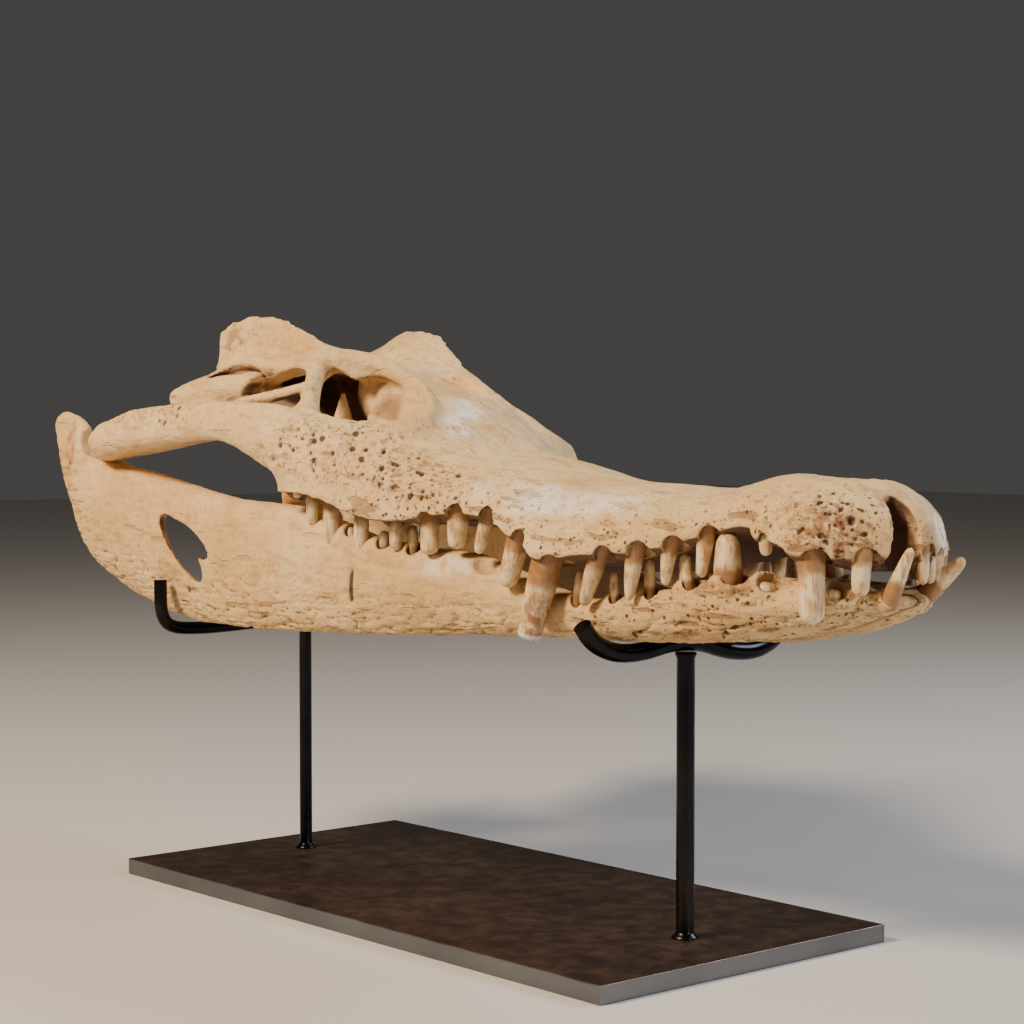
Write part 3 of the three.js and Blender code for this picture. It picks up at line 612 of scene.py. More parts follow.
def cap(work, rim, way):
    """Fills the cut inside the rim with triangles that face along way."""
    corners = list({v for e in rim for v in e.verts})
    number = {v: i for i, v in enumerate(corners)}
    flat = [Vector((v.co.y, v.co.z)) for v in corners]
    pairs = [(number[e.verts[0]], number[e.verts[1]]) for e in rim]
    spots, _, faces, origin, _, _ = delaunay_2d_cdt(flat, pairs, [], 0, 1e-9)
    spots = np.array([tuple(v) for v in spots])
    faces = np.array(faces)
    y, z = spots[faces].mean(1).T
    ends = np.array([[tuple(flat[a]), tuple(flat[b])] for a, b in pairs])
    inside = np.zeros(len(faces), bool)
    for (ay, az), (by, bz) in ends:
        if az != bz:
            inside ^= ((az > z) != (bz > z)) & (y < (by - ay) * (z - az) / (bz - az) + ay)
    for a, b, c in faces[inside]:
        trio = [corners[origin[i][0]] if origin[i] else None for i in (a, b, c)]
        if None not in trio and len(set(trio)) == 3:
            work.faces.new(trio if way > 0 else trio[::-1])


def cut_square(piece, behind, front):
    """Cuts a piece at one or two x, in millimetres, and closes it there."""
    work = bmesh.new()
    work.from_mesh(piece.data)
    for x, way in ((behind, -1), (front, 1)):
        if x is None:
            continue
        everything = list(work.verts) + list(work.edges) + list(work.faces)
        bmesh.ops.bisect_plane(work, geom=everything, plane_co=(x / 1000, 0, 0), plane_no=(way, 0, 0),
                               dist=1e-7, clear_outer=True)
        rim = [e for e in work.edges
               if e.is_boundary and max(abs(v.co.x - x / 1000) for v in e.verts) < 1e-6]
        cap(work, rim, way)
    still_open = [e for e in work.edges if e.is_boundary]
    bmesh.ops.remove_doubles(work, verts=list({v for e in still_open for v in e.verts}), dist=2e-6)
    bmesh.ops.holes_fill(work, edges=[e for e in work.edges if e.is_boundary], sides=0)
    work.to_mesh(piece.data)
    work.free()


TIP_CUT, SNOUT_CUT, BROW_CUT, TEMPLE_CUT = 258, 118, -10, -120  # x where its lengths meet
cranium = [
    cranium_piece("premaxillae", (252, -56, 212), (344, 56, 270), 0.85 * FINE, TIP_CUT),
    cranium_piece("maxillae_front", (112, -84, 204), (264, 84, 268), 0.95 * FINE, SNOUT_CUT, TIP_CUT),
    cranium_piece("maxillae_rear", (-16, -112, 214), (124, 112, 312), 1.05 * FINE, BROW_CUT, SNOUT_CUT),
    cranium_piece("temples", (-126, -134, 200), (-4, 134, 360), 1.3 * FINE, TEMPLE_CUT, BROW_CUT),
    cranium_piece("skull_back", (-268, -134, 228), (-114, 134, 362), 1.4 * FINE, None, TEMPLE_CUT),
]


def srgb(text):
    """Linear colour from an sRGB hex."""
    parts = [int(text[i:i + 2], 16) / 255 for i in (1, 3, 5)]
    return [v / 12.92 if v <= 0.04045 else ((v + 0.055) / 1.055)**2.4 for v in parts] + [1.0]


NODES = {  # short name: kind of node, its output, settings, and its inputs in a call's order
    "noise": ("ShaderNodeTexNoise", 0, {"Detail": 4, "Roughness": 0.55},
              ("Vector", "Scale", "Detail", "Roughness")),
    "cells": ("ShaderNodeTexVoronoi", "Distance", {}, ("Vector", "Scale")),
    "mark": ("ShaderNodeAttribute", "Fac", {}, ()),
    "stretch": ("ShaderNodeMapping", 0, {}, ("Vector", "Scale")),
    "mix": ("ShaderNodeMix", 2, {"data_type": "RGBA"}, (0, 6, 7)),
    "ramp": ("ShaderNodeMapRange", 0, {"interpolation_type": "SMOOTHSTEP"}, range(5)),
    "bump": ("ShaderNodeBump", 0, {}, ("Height", "Strength", "Distance")),
}


def add(tree, what, *values, **settings):
    """Adds a node of the list, or a sum named by its operation, and gives its output."""
    kind, output, always, inputs = NODES.get(what, (what, 0, {}, ()))
    if what.isupper():
        kind, always, inputs = "ShaderNodeMath", {"operation": what}, (0, 1)
    made = tree.nodes.new(kind)
    for key, value in (always | settings | dict(zip(inputs, values))).items():
        if isinstance(key, str) and hasattr(made, key):
            setattr(made, key, value)
            continue
        socket = made.inputs[key.replace("_", " ") if isinstance(key, str) else key]
        if isinstance(value, bpy.types.NodeSocket):
            tree.links.new(value, socket)
        else:
            socket.default_value = value
    return made.outputs[output]


def fresh_material(name, roughness, metallic=0.0):
    material = bpy.data.materials.new(name)
    material.use_nodes = True
    tree = material.node_tree
    shader = tree.nodes["Principled BSDF"]
    shader.inputs["Roughness"].default_value = roughness
    shader.inputs["Metallic"].default_value = metallic
    return material, tree, shader


def clouds(tree, place, size_mm, detail, low, high, roughness=0.55):
    """Mask of soft clouds, the largest of them about size_mm across."""
    return add(tree, "ramp", add(tree, "noise", place, 1000 / size_mm, detail, roughness), low, high)


def layers(tree, colour, *coats):
    """Colour under coats, each given as its mask and its tint, from the lowest up."""
    for mask, tint in coats:
        colour = add(tree, "mix", mask, colour, srgb(tint))
    return colour


def dry_bone(name, pale, tan, warm, grain_way):
    """Boiled, air-dried bone: cream, tan where oils stayed, dark small pores, and painted shade in browns
    where the mark hollow is high.
    """
    material, tree, shader = fresh_material(name, 0.68)
    place = tree.nodes.new("ShaderNodeTexCoord").outputs["Object"]
    mark = {key: add(tree, "mark", attribute_name=key)
            for key in ("hollow", "pit", "rough", "pored", "stained", "bleach_and_painted_highlight")}
    long = add(tree, "stretch", place, grain_way)
    streak = add(tree, "noise", long, 1000 / 3.4, 5, 0.6)
    # cracks along the grain, wandering furrows, pores and dirt
    slit = add(tree, "noise", long, 1000 / 7, 3, 0.5)
    slit = add(tree, "ADD", slit, add(tree, "MULTIPLY", mark["pored"], 0.06))
    slit = add(tree, "ramp", slit, 0.62, 0.69)
    furrow = add(tree, "SUBTRACT", add(tree, "noise", place, 1000 / 6.5, 4), 0.5)
    furrow = add(tree, "ramp", add(tree, "ABSOLUTE", furrow), 0.0, 0.05, 1, 0)
    furrow = add(tree, "MULTIPLY", furrow, mark["rough"])
    furrow = add(tree, "MULTIPLY", furrow, clouds(tree, place, 4.2, 3, 0.52, 0.62))
    pore = add(tree, "ramp", add(tree, "cells", place, 1000 / 5.6), 0.12, 0.22, 1, 0)
    speck = add(tree, "ramp", add(tree, "cells", place, 1000 / 3.0), 0.12, 0.22, 0.7, 0)
    pore = add(tree, "MULTIPLY", add(tree, "MAXIMUM", pore, speck), mark["pored"])
    pore = add(tree, "MULTIPLY", pore, clouds(tree, place, 14, 3, 0.27, 0.42))
    dirty = add(tree, "ADD", add(tree, "MULTIPLY", mark["rough"], 0.45), 0.16)
    open_slit = add(tree, "ADD", add(tree, "MULTIPLY", mark["pored"], 0.5), 0.12)
    white = clouds(tree, place, 8, 5, 0.3, 0.6, 0.6)
    red = add(tree, "MULTIPLY", clouds(tree, place, 6, 4, 0.35, 0.62, 0.6), 0.8)
    colour = layers(
        tree, srgb(pale),
        (clouds(tree, place, 60, 6, 0.36, 0.66), tan),
        (add(tree, "MULTIPLY", clouds(tree, place, 12, 7, 0.46, 0.72, 0.68), 0.55), warm),
        (add(tree, "ramp", streak, 0.5, 0.72, 0, 0.5), warm),
        # Pale patches: partly bleaching, partly painted highlight
        (add(tree, "MULTIPLY", mark["bleach_and_painted_highlight"], white), "#F1E7D3"),
        (add(tree, "MULTIPLY", mark["stained"], red), "#8C5634"),
        (add(tree, "MULTIPLY", clouds(tree, place, 3.2, 6, 0.5, 0.72, 0.7), dirty), "#8A6038"),
        (add(tree, "MULTIPLY", furrow, 0.4), "#7E5534"),
        (add(tree, "MULTIPLY", slit, open_slit), "#7A4A2A"),
        (add(tree, "ramp", mark["pit"], 0.2, 0.7, 0, 0.92), "#452B18"),
        (add(tree, "MULTIPLY", pore, 0.9), "#3A2415"),
        # Painted shade in two browns from the mark hollow
        (add(tree, "ramp", mark["hollow"], 0.25, 0.75, 0, 0.75), "#775440"),
        (add(tree, "ramp", mark["hollow"], 0.55, 0.95, 0, 0.92), "#3E241A"),
    )
    tree.links.new(colour, shader.inputs["Base Color"])
    # relief under a millimetre
    height = add(tree, "MULTIPLY", add(tree, "noise", place, 1000 / 1.8, 5, 0.7), 0.35)
    lumps = add(tree, "noise", place, 1000 / 5, 5, 0.62)
    height = add(tree, "ADD", height, add(tree, "MULTIPLY", lumps, 0.9))
    height = add(tree, "ADD", height, add(tree, "MULTIPLY", streak, 0.55))
    for dent, depth in ((pore, 0.9), (furrow, 0.8), (slit, 0.6)):
        height = add(tree, "SUBTRACT", height, add(tree, "MULTIPLY", dent, depth))
    tree.links.new(add(tree, "bump", height, 1.0, 0.001), shader.inputs["Normal"])
    shader.inputs["Specular IOR Level"].default_value = 0.3
    return material


cranium_bone = dry_bone("cranium_bone_dried", "#EBCD98", "#DDB87E", "#B98A50", (0.25, 1, 1))
for piece in cranium:
    piece.data.materials.append(cranium_bone)
    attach(piece, "root")
    if piece.name in ("temples", "skull_back"):
        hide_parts("braincase", "cheek_left", "cheek_right")
    else:
        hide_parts("snout")

# ---- The lower jaw --------------------------------------------------------
# Two halves that meet at the chin in a rough joint and stay apart behind it. Each is
# one bone plate, with a window through its rear half and a long hollow inside it. The
# cradles carry it by its lower edge.

JAW = {  # x: outer half width, top edge, bottom edge, wall
    -301: (112, 285, 270, 8), -295: (113, 289, 250, 9), -280: (114, 289, 225, 10),
    -267: (115, 285, 205, 12), -258: (116, 272, 193, 22), -240: (115, 260, 180, 34),
    -210: (109, 255, 168, 33), -177: (102.6, 249.5, 159.9, 28), -125: (105, 242, 158.5, 26),
    -82: (103, 235.5, 159, 24), -40: (94, 227, 160, 23), 0: (84, 216, 161.6, 23),
    30: (75, 212.3, 163.5, 23), 62: (67, 210.7, 165.4, 23), 92: (61, 203, 167.2, 23),
    120: (56, 195.3, 168.6, 23), 145: (54, 192, 169.6, 22), 171: (53, 193.5, 170.9, 22),
    195: (50, 198, 171.6, 24), 220: (46, 204.2, 173, 28), 245: (44, 207.4, 175.2, 33),
    270: (38, 208.3, 179.5, 38), 300: (36, 208.4, 186, 36), 318: (27, 205.5, 193, 27),
    329: (15, 204, 198, 15), 334: (5, 203, 200, 5),
}
LOWER_TEETH = [  # x, y, lean, tip height, radius, side, taper, how full, amber, socket
    (328, 17, 13.4, 227.5, 4.2, -1, 0.6, 7, 0.5, 1.0), (321, 17, 25, 223, 5.2, 1, 0.6, 7, 0.5, 1.0),
    (306, 31, 0, 206, 3.6, 0, 0.1, 4, 0.3, 2.4), (263.8, 33, 0, 207, 5.4, 0, 0.1, 3, 0.9, 1.8),
    (242.8, 38, -2, 230.5, 6.8, 0, 0.12, 3.4, 0.5, 0.5), (217, 40, -4, 219, 4.3, 0, 0.45, 6, 0.8, 0.8),
    (193, 44, -1.1, 215.4, 3.1, 0, 0.3, 5, 0.2, 0.8), (170, 47, -1.6, 207.4, 2.6, 0, 0.3, 5, 0.1, 0.8),
    (144, 50, 1.5, 207, 2.7, 0, 0.3, 5, 0.1, 1.2), (24, 66, -1.7, 225, 3.2, 0, 0.2, 4, 0.1, 1.2),
    (4, 72, 0, 222, 3.4, 0, 0.2, 4, 0.9, 1.2), (-19, 78, -0.7, 223, 2.9, 0, 0.2, 4, 1.0, 1.0),
]
EMPTY_SOCKETS = [(80, 60, 208, 11, 9, 7), (112, 60, 198, 9, 8, 6)]  # x, y, z and half sizes
JAW_SECTION = [  # share of the wall inwards, share of the height
    (0.12, 0.96), (0, 0.68), (0.05, 0.42), (0.24, 0.16), (0.48, 0.01),
    (0.72, 0.01), (0.95, 0.16), (1, 0.5), (0.96, 1.02), (0.55, 1.03),
]
jaw_at = smooth(JAW)


def jaw_rings(x):
    outer, top, low, wall = (v[:, None] for v in jaw_at(x).T)
    section = np.array(JAW_SECTION)
    for _ in range(2):
        after = np.roll(section, -1, 0)
        section = np.stack([section * 0.75 + after * 0.25, section * 0.25 + after * 0.75], 1).reshape(-1, 2)
    inward, rise = section.T
    rise = rise - 0.13 * inward * (rise > 0.7) * np.clip((-60 - x[:, None]) / 50, 0, 1)
    return np.stack([np.maximum(outer - wall * inward * 1.02 + 0.3, 0.4), low + (top - low) * rise], 2)


def jaw_window(x, z, long, tall, tilt, bevel):
    """Slanted oval window through the plate, bevelled towards the back."""
    outer = jaw_at(x)[0]

    def field(px, py, pz):
        u0 = px - x + bevel * (outer - py)
        v0 = pz - z
        u = u0 * math.cos(tilt) - v0 * math.sin(tilt)
        v = u0 * math.sin(tilt) + v0 * math.cos(tilt)
        return oval(u, v, long, tall)

    return np.array([x - 80, outer - 50, z - 40]), np.array([x + 60, outer + 20, z + 40]), field


def jaw_relief(points, out, hollow, side):
    x, y, z = points.T
    outer, top, low, wall = jaw_at(x).T
    rise = (z - low) / np.maximum(top - low, 1)
    inner = np.clip(-out[:, 1] * side * 1.6, 0, 1)
    foot = np.clip(1.25 - rise * 1.7, 0, 1)
    front = np.clip((x - 120) / 80, 0, 1)
    rear = np.clip((-150 - x) / 60, 0, 1)
    rough = np.clip(0.12 + 0.8 * np.clip((x - 290) / 20, 0, 1) + rear * 0.15, 0, 1)
    pored = np.clip(front * (1.2 - np.abs(rise - 0.55) * 1.8) + 0.5 * foot, 0, 1) * (1 - inner)
    stained = patch(points, ((-277, -113, 268), (9, 20, 26)), ((250, -40, 205), (26, 20, 8)))
    stained = stained * np.clip(0.6 + ripple(points, 8, 73), 0, 1)
    # Pale patch on the jaw's right side, partly bleaching and partly painted highlight
    bleach_and_painted_highlight = 0.6 * patch(points, ((60, -80, 205), (40, 30, 14)))
    tone = ripple(points, 42, 6) * 0.7 + ripple(points, 16, 7) * 0.4 + ripple(points, 6, 8) * 0.25
    long = np.abs(ripple(points, (17, 5, 3.2), 41)) + 0.35 * np.abs(ripple(points, (7, 3, 2.4), 42))
    grooves = np.clip(0.32 - long, 0, 1) / 0.32 * np.clip(foot * 1.2 + front * 0.7, 0.1, 1)
    pits = dimples(points, 8.5, 2.6, 51) * rough
    fine = dimples(points * [0.45, 1, 1], 4.6, 1.35, 61) * pored
    line = (z - np.interp(x, (-110, -60, -30, 0, 30, 60), (232, 222, 214, 203, 200, 206)))
    band = np.exp(-(line / 2.2)**2) * np.clip((x + 110) / 30, 0, 1) * np.clip((60 - x) / 20, 0, 1)
    crack = np.exp(-((x + 8 - (z - 190) * 0.12) / 1.5)**2) * np.clip((12 - np.abs(z - 190)) / 6, 0, 1)
    outside = 1 - inner
    height = (tone * 0.6 - grooves * 1.5 - pits * 1.2 - fine * 0.9 - band * 1.1 * outside
              - crack * 1.3 * outside + ripple(points, 3.2, 25) * 0.15)
    pit = np.clip(pits * 0.6 + fine + grooves**2 * 0.8 + crack * outside + band * 0.2 * outside, 0, 1)
    # Painted shade: the mark hollow is darker in recesses and on the inner face of the jaw's front part
    marks = {"hollow": np.maximum(1 - hollow, 0.7 * inner * (x > -60)), "pit": pit, "rough": rough,
             "pored": pored, "stained": stained, "bleach_and_painted_highlight": bleach_and_painted_highlight}
    return height * (0.4 + 0.6 * hollow), marks


def jaw_piece(name, side, pitch):
    block = Block((-308, 0, 150), (340, 124, 300), pitch)
    block.join(loft((-310, -2, 145), (342, 130, 305), -301, 334, jaw_rings), 4)
    grown = [row for row in LOWER_TEETH if row[5] in (0, side)]
    for x, y, lean, tip, radius, only, taper, full, amber, loose in grown:
        block.join(socket_forms(x, y, jaw_at(x)[1], radius, loose, 1)[0], 5)
    block.carve(knob((-158, jaw_at(-158)[0] - jaw_at(-158)[3], 205), (85, jaw_at(-158)[3] - 7, 39)), 5)
    block.carve(jaw_window(-160, 204.5, 60, 19, 0.66, 0.95), 1)
    block.carve(jaw_window(-151, 210, 48, 13, 0.4, 0.95), 1)
    block.carve(bar([(-232, 98, 272, 22, 13), (-244, 106, 269, 20, 13), (-254, 109, 270, 18, 11)]), 3)
    for x, y, lean, tip, radius, only, taper, full, amber, loose in grown:
        block.carve(socket_forms(x, y, jaw_at(x)[1], radius, loose, 1)[1], 1.2)
    for x, y, z, long, wide, deep in EMPTY_SOCKETS:
        block.carve(knob((x, y, z), (long, wide, deep)), 2)
    points, quads = net(block)
    out = slopes(block, points)
    hollow = openness(block, points, out)
    if side < 0:
        points, out, quads = points * [1, -1, 1], out * [1, -1, 1], quads[:, ::-1]
    height, marks = jaw_relief(points, out, hollow, side)
    height = np.where(np.abs(points[:, 1]) < 1.5, 0, height)
    points = points + out * height[:, None]
    return new_mesh(name, leaned(points), quads, marks)


jaw_bone = dry_bone("lower_jaw_bone_dried", "#E8C892", "#D8B077", "#B4854C", (0.16, 1, 1))
for name, side, node, pitch in (
    ("jaw_half_left", 1, "mandible_left", 1.5),
    ("jaw_half_right", -1, "mandible_right", 1.22),
):
    piece = jaw_piece(name, side, pitch * FINE)
    piece.data.materials.append(jaw_bone)
    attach(piece, "root")
    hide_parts(node)

# ---- The teeth ------------------------------------------------------------
# Conical crowns of enamel over dentine, set loose in their sockets. They are ivory,
# amber at the neck, streaked and cracked along, and several tips are worn or broken.

CROWN_BOW = 0.6  # how far the middle of a crown bows outwards
ROOT_DEPTH = 9  # how far a root reaches into its jaw


def crown(root, tip, radius, taper, full, seed, sides=26, rings=22):
    """Points, quads and marks of one tooth from inside its socket to its tip."""
    root, tip = np.array(root, float), np.array(tip, float)
    t = np.linspace(0, 1, rings)
    t = t + 0.35 * t * (1 - t)
    middle = (root + tip) / 2 + np.array([0, CROWN_BOW, 0])
    path = ((1 - t)**2)[:, None] * root + (2 * t * (1 - t))[:, None] * middle + (t**2)[:, None] * tip
    along = np.gradient(path, axis=0)
    along /= np.linalg.norm(along, axis=1, keepdims=True)
    across = np.cross(along, [0, 1, 0])
    across /= np.linalg.norm(across, axis=1, keepdims=True)
    up = np.cross(across, along)
    size = 1.06 * radius * (1 - 0.88 * taper * t**1.5) * np.sqrt(np.clip(1 - t**(full * 2.8), 0, 1))
    size[-1] = radius * 0.02
    a = np.linspace(0, 2 * np.pi, sides, endpoint=False)
    flute = 1 + 0.012 * np.sin(11 * a + seed) + 0.03 * np.cos(2 * a)
    wave = 1 + 0.03 * np.sin(3.1 * t * 3 + seed)[:, None]
    r = size[:, None] * flute[None] * wave
    points = (path[:, None] + across[:, None] * (r * np.cos(a))[..., None]
              + up[:, None] * (r * np.sin(a))[..., None]).reshape(-1, 3)
    i, j = np.meshgrid(np.arange(rings - 1), np.arange(sides), indexing="ij")
    i, j = i.ravel(), j.ravel()
    k = (j + 1) % sides
    quads = np.stack([i * sides + j, i * sides + k, (i + 1) * sides + k, (i + 1) * sides + j], 1)
    ends = [path[0], path[-1]]
    points = np.concatenate([points, ends])
    last = (rings - 1) * sides
    n = np.arange(sides)
    m = (n + 1) % sides
    base = np.stack([m, n, n * 0 + len(points) - 2], 1)
    top = np.stack([last + n, last + m, n * 0 + len(points) - 1], 1)
    marks = np.concatenate([np.repeat(t, sides), [0, 1]])
    return points, quads, np.concatenate([base, top]), marks


def teeth_piece(name, rows, side):
    """All the teeth of one side of one jaw, from root, tip, radius, taper, fullness and tone."""
    points, quads, tris, along, tone = [], [], [], [], []
    start = 0
    for number, (root, tip, radius, taper, full, colour) in enumerate(rows):
        p, q, f, t = crown(root, tip, radius, taper, full, number * 1.7 + side)
        points.append(p * [1, side, 1])
        quads.append(q + start)
        tris.append(f + start)
        along.append(t)
        tone.append(np.full(len(p), colour))
        start += len(p)
    points, quads, tris = leaned(np.concatenate(points)), np.concatenate(quads), np.concatenate(tris)
    mesh = bpy.data.meshes.new(name)
    faces = [tuple(q) for q in quads] + [tuple(f) for f in tris]
    if side < 0:
        faces = [f[::-1] for f in faces]
    mesh.from_pydata([tuple(p) for p in points], [], [tuple(int(v) for v in f) for f in faces])
    for mark, values in (("along", np.concatenate(along)), ("tone", np.concatenate(tone))):
        mesh.attributes.new(mark, "FLOAT", "POINT").data.foreach_set("value", values.astype(np.float32))
    mesh.polygons.foreach_set("use_smooth", np.ones(len(mesh.polygons), bool))
    return placed(name, mesh)


def old_ivory():
    """Enamel over dentine: ivory, amber at the neck, brown at the root and in its cracks."""
    material, tree, shader = fresh_material("tooth_enamel_aged", 0.42)
    place = tree.nodes.new("ShaderNodeTexCoord").outputs["Object"]
    along = add(tree, "mark", attribute_name="along")
    tone = add(tree, "mark", attribute_name="tone")
    neck = add(tree, "ramp", along, 0.5, 0.3, 0, 1)
    amber = add(tree, "MULTIPLY", clouds(tree, place, 5, 3, 0.4, 0.6), tone)
    root = add(tree, "MULTIPLY", add(tree, "noise", place, 1000 / 4, 4), 0.2)
    root = add(tree, "ADD", along, root)
    worn = add(tree, "ramp", tone, 1.1, 1.3)
    crown_end = add(tree, "ramp", along, 0.45, 0.65)
    band = add(tree, "MULTIPLY", crown_end, clouds(tree, place, 6, 4, 0.38, 0.6))
    streak = add(tree, "noise", add(tree, "stretch", place, (1, 1, 0.12)), 1000 / 1.6, 3)
    colour = layers(
        tree, srgb("#EDD5A6"),
        (clouds(tree, place, 9, 4, 0.4, 0.65), "#CFA670"),
        (add(tree, "MULTIPLY", neck, amber), "#C4812F"),
        (add(tree, "ramp", root, 0.46, 0.62, 0.85, 0), "#946539"),
        (add(tree, "MULTIPLY", add(tree, "MULTIPLY", band, worn), 0.75), "#8A4A2E"),
        (add(tree, "MULTIPLY", add(tree, "ramp", along, 0.9, 0.93), worn), "#F3EBDD"),
        (add(tree, "ramp", streak, 0.48, 0.68, 0, 0.65), "#96683A"),
    )
    tree.links.new(colour, shader.inputs["Base Color"])
    tree.links.new(add(tree, "bump", streak, 0.4, 0.0004), shader.inputs["Normal"])
    return material


ivory = old_ivory()


def upper_root(x, lean):
    return snout_at(x)[1] + ROOT_DEPTH


def lower_root(x, lean):
    """Height of a root in the lower jaw, less deep for the slanting teeth at its thin tip."""
    return jaw_at(x)[1] - ROOT_DEPTH + 0.26 * max(lean, 0)


def side_rows(table, side, root_at):
    """The teeth of a table that stand on one side, as teeth_piece takes them."""
    rows = []
    for x, y, lean, tip, radius, only, taper, full, amber, loose in table:
        if only in (0, side):
            rows.append(((x, y, root_at(x, lean)), (x + lean, y, tip), radius, taper, full, amber))
    return rows


for jaw, table, root_at in (("upper", UPPER_TEETH, upper_root), ("lower", LOWER_TEETH, lower_root)):
    for side_name, side in (("left", 1), ("right", -1)):
        piece = teeth_piece(f"teeth_{jaw}_{side_name}", side_rows(table, side, root_at), side)
        piece.data.materials.append(ivory)
        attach(piece, "root")

# ---- The base plate -------------------------------------------------------
# A plate of cold rolled steel with broken edges, blackened in a bath and waxed. Its top
# is brown and its sides are given a greyer colour than the top.

PLATE = (0.440, 0.215, 0.010)


def blackened_steel(name, dark, brown, roughness, dust=0.0):
    """Steel blackened in a bath and waxed: a dull dark metal with brown clouds and some dust."""
    material, tree, shader = fresh_material(name, roughness, 1.0)
    place = tree.nodes.new("ShaderNodeTexCoord").outputs["Object"]
    colour = layers(tree, srgb(dark), (clouds(tree, place, 110, 5, 0.3, 0.75), brown))
    if dust:
        grain = add(tree, "ramp", add(tree, "cells", place, 1000 / 9.0), 0.03, 0.07, dust, 0)
        grain = add(tree, "MULTIPLY", grain, clouds(tree, place, 30, 3, 0.5, 0.6))
        colour = layers(tree, colour, (grain, "#CBBDAE"))
    tree.links.new(colour, shader.inputs["Base Color"])
    rubbed = add(tree, "noise", place, 1000 / 14, 6, 0.65)
    rough = add(tree, "ramp", rubbed, 0.3, 0.7, roughness - 0.08, roughness + 0.1)
    tree.links.new(rough, shader.inputs["Roughness"])
    return material


def slab(name, low, high, bevel):
    """Block with small rounded edges."""
    mesh = bpy.data.meshes.new(name)
    work = bmesh.new()
    bmesh.ops.create_cube(work, size=1.0)
    for vertex in work.verts:
        vertex.co = [lo + (c + 0.5) * (hi - lo) for c, lo, hi in zip(vertex.co, low, high)]
    bmesh.ops.bevel(work, geom=list(work.edges), offset=bevel, segments=3, profile=0.5, affect="EDGES")
    bmesh.ops.recalc_face_normals(work, faces=work.faces)
    work.to_mesh(mesh)
    work.free()
    return placed(name, mesh)


plate = slab("base_plate", (-PLATE[0] / 2, -PLATE[1] / 2, 0), (PLATE[0] / 2, PLATE[1] / 2, PLATE[2]), 0.0006)
plate.data.materials.append(blackened_steel("plate_steel_blackened", "#6B584B", "#7D6758", 0.45, 0.8))
# The sides get a greyer colour than the top.
plate.data.materials.append(blackened_steel("plate_sides_greyer", "#6F7276", "#85888B", 0.4))
for face in plate.data.polygons:
    face.material_index = int(abs(face.normal.z) < 0.5)
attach(plate, "root")
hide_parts("stand_base")

# ---- Posts and cradles ----------------------------------------------------
# Round steel rod, cut, bent cold and welded: one post and one cradle at each end of
# the jaw. Ends are ground round and the whole is blackened and waxed like the plate.

MOUNTS = {  # x, radius of rod and of post, left half of the cradle as width and height
    "front": (171.5, 5.0, 5.0, [(0, 170.5), (14, 169.4), (30, 165.4), (46, 164.2), (58, 166),
                                (69, 171), (76, 179)]),
    "rear": (-176.6, 4.0, 4.0, [(0, 162), (30, 158), (60, 155), (84, 153.6), (102, 154.4),
                                (109.3, 162), (110.5, 184)]),
}
WELD_ROOM = 0.9  # from the top of a post to the rod over it


def rod_group():
    """Node group that gives a line the section of a round rod with ground ends."""
    group = bpy.data.node_groups.new("bent_rod", "GeometryNodeTree")
    sockets = {}
    for name, kind in (("Line", "NodeSocketGeometry"), ("Radius", "NodeSocketFloat"),
                       ("Steel", "NodeSocketMaterial")):
        sockets[name] = group.interface.new_socket(name, in_out="INPUT", socket_type=kind).identifier
    group.interface.new_socket("Rod", in_out="OUTPUT", socket_type="NodeSocketGeometry")
    given = group.nodes.new("NodeGroupInput").outputs
    line = add(group, "GeometryNodeMeshToCurve", Mesh=given["Line"])
    length = group.nodes.new("GeometryNodeSplineLength").outputs["Length"]
    passed = group.nodes.new("GeometryNodeSplineParameter").outputs["Length"]
    left = add(group, "SUBTRACT", length, passed)
    clear = add(group, "DIVIDE", add(group, "MINIMUM", passed, left), given["Radius"])
    short = add(group, "MAXIMUM", add(group, "SUBTRACT", 1.0, clear), 0.0)
    share = add(group, "SUBTRACT", 1.0, add(group, "MULTIPLY", short, short))
    share = add(group, "SQRT", share)
    curve = add(group, "GeometryNodeSetCurveRadius", Curve=line, Radius=share)
    ring = add(group, "GeometryNodeCurvePrimitiveCircle", Radius=given["Radius"], Resolution=24)
    rod = add(group, "GeometryNodeCurveToMesh", Curve=curve, Profile_Curve=ring, Fill_Caps=True)
    rod = add(group, "GeometryNodeSetShadeSmooth", Geometry=rod)
    rod = add(group, "GeometryNodeRealizeInstances", Geometry=rod)
    rod = add(group, "GeometryNodeSetMaterial", Geometry=rod, Material=given["Steel"])
    out = group.nodes.new("NodeGroupOutput")
    group.links.new(rod, out.inputs[0])
    return group, sockets


def bent_path(corners, radius):
    """Points along a line with rounded corners, close together near its two ends."""
    line = np.array(corners, float)
    for _ in range(3):
        a, b = line[:-1] * 0.75 + line[1:] * 0.25, line[:-1] * 0.25 + line[1:] * 0.75
        line = np.concatenate([line[:1], np.stack([a, b], 1).reshape(-1, 3), line[-1:]])
    way = np.concatenate([[0], np.cumsum(np.linalg.norm(np.diff(line, axis=0), axis=1))])
    ends = radius * (1 - np.cos(np.linspace(0.12, np.pi / 2, 9)))
    middle = np.linspace(radius * 1.2, way[-1] - radius * 1.2, 90)
    stops = np.concatenate([ends, middle, way[-1] - ends[::-1]])
    return np.stack([np.interp(stops, way, line[:, i]) for i in range(3)], 1)


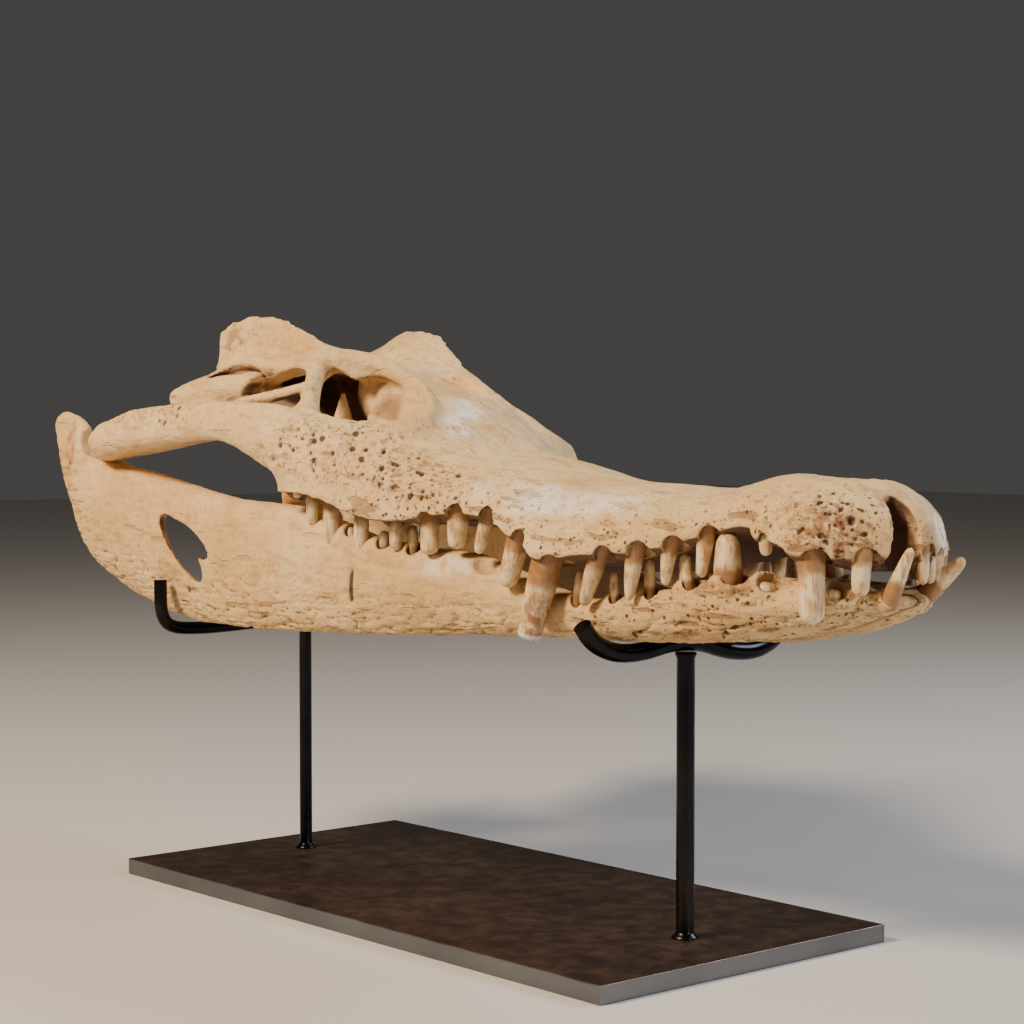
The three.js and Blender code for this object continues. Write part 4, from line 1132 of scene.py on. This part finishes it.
def rod_piece(name, corners, radius, group, sockets, steel):
    path = leaned(bent_path(corners, radius), 0)
    mesh = bpy.data.meshes.new(name + "_line")
    mesh.from_pydata([tuple(p) for p in path], [(i, i + 1) for i in range(len(path) - 1)], [])
    line = placed(name + "_line", mesh)
    bend = line.modifiers.new("rod", "NODES")
    bend.node_group = group
    bend[sockets["Radius"]] = radius / 1000
    bend[sockets["Steel"]] = steel
    bpy.context.view_layer.update()
    made = bpy.data.meshes.new_from_object(line.evaluated_get(bpy.context.evaluated_depsgraph_get()))
    bpy.data.objects.remove(line)
    return placed(name, made)


def post_piece(name, x, radius, top, steel):
    """Post with a weld bead at its foot and one under the rod, as rings of radius and height."""
    low = 1000 * PLATE[2] + 0.05
    rings = [(0.01, low), (radius + 2.6, low), (radius + 2.4, low + 0.8), (radius + 1.2, low + 1.9),
             (radius + 0.3, low + 2.8), (radius, low + 3.6), (radius, low + 20), (radius, top - 20),
             (radius, top - 3), (radius + 0.5, top - 2.2), (radius + 1.0, top - 1), (radius + 0.6, top - 0.1),
             (0.01, top)]
    sides = 28
    a = np.linspace(0, 2 * np.pi, sides, endpoint=False)
    points = np.concatenate([np.stack([x + r * np.cos(a), r * np.sin(a), 0 * a + z], 1) for r, z in rings])
    last = (len(rings) - 1) * sides
    faces = []
    for i in range(0, last, sides):
        for j in range(sides):
            k = (j + 1) % sides
            faces.append((i + j, i + k, i + sides + k, i + sides + j))
    faces += [tuple(range(sides))[::-1], tuple(range(last, last + sides))]
    mesh = bpy.data.meshes.new(name)
    mesh.from_pydata([tuple(p / 1000) for p in points], [], faces)
    mesh.polygons.foreach_set("use_smooth", np.ones(len(mesh.polygons), bool))
    mesh.materials.append(steel)
    return placed(name, mesh)


def mirrored(half, x):
    """Line of a whole cradle at x, from its right hook to its left."""
    return [(x, -y, z) for y, z in half[:0:-1]] + [(x, y, z) for y, z in half]


rod_steel = blackened_steel("rod_steel_blackened", "#1E1E21", "#2E2B2A", 0.26)
bent_rod, rod_sockets = rod_group()
cradles = [rod_piece(f"cradle_{end}", mirrored(half, x), rod, bent_rod, rod_sockets, rod_steel)
           for end, (x, rod, post, half) in MOUNTS.items()]
posts = [post_piece(f"post_{end}", x, post, half[0][1] - rod - WELD_ROOM, rod_steel)
         for end, (x, rod, post, half) in MOUNTS.items()]
nodes = ("stand_cradle_front", "stand_cradle_rear", "stand_post_front", "stand_post_rear")
for piece, node in zip(cradles + posts, nodes):
    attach(piece, "root")
    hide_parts(node)

# ---- The room -------------------------------------------------------------
# A plain pale floor of matt paint under three soft lamps, and a camera at the height of
# the brow. Only the floor is staged: none of this belongs to the mount.


def area_lamp(name, place, aim, size, power, colour):
    lamp = bpy.data.lights.new(name, "AREA")
    lamp.shape = "DISK"
    lamp.size = size
    lamp.energy = power
    lamp.color = srgb(colour)[:3]
    thing = placed(name, lamp)
    thing.location = place
    thing.rotation_mode = "QUATERNION"
    thing.rotation_quaternion = (Vector(aim) - Vector(place)).to_track_quat("-Z", "Y")


floor_mesh = bpy.data.meshes.new("floor")
REACH = 6  # metres from the middle of the floor to its edges
floor_corners = [(-REACH, -REACH, 0), (REACH, -REACH, 0), (REACH, REACH, 0), (-REACH, REACH, 0)]
floor_mesh.from_pydata(floor_corners, [], [(0, 1, 2, 3)])
floor = placed("floor", floor_mesh)
floor_material, floor_tree, floor_shader = fresh_material("floor_paint_matt", 0.9)
floor_shader.inputs["Base Color"].default_value = srgb("#CFCBC4")
floor.data.materials.append(floor_material)

area_lamp("key_lamp", (-0.2, -1.5, 1.45), (0.05, 0, 0.25), 0.5, 62, "#FFE6C8")
area_lamp("back_lamp", (0.9, 1.4, 1.3), (0.1, 0, 0.25), 0.8, 26, "#E6EEFF")
area_lamp("tip_lamp", (2.0, 0.2, 0.7), (0.2, 0, 0.22), 0.5, 14, "#F2F6FF")

world = bpy.data.worlds.new("studio")
world.use_nodes = True
world.node_tree.nodes["Background"].inputs["Color"].default_value = srgb("#8A8886")
world.node_tree.nodes["Background"].inputs["Strength"].default_value = 0.25
bpy.context.scene.world = world

camera_data = bpy.data.cameras.new("camera")
camera_data.lens = 82.23
camera_data.sensor_width = 36.0
camera_data.clip_start = 0.05
camera_data.clip_end = 40
camera = placed("camera", camera_data)
camera.location = (1.0570, -0.8874, 0.2924)
camera.rotation_mode = "QUATERNION"
camera.rotation_quaternion = Vector((-0.7563, 0.6527, -0.0421)).to_track_quat("-Z", "Y")
bpy.context.scene.camera = camera
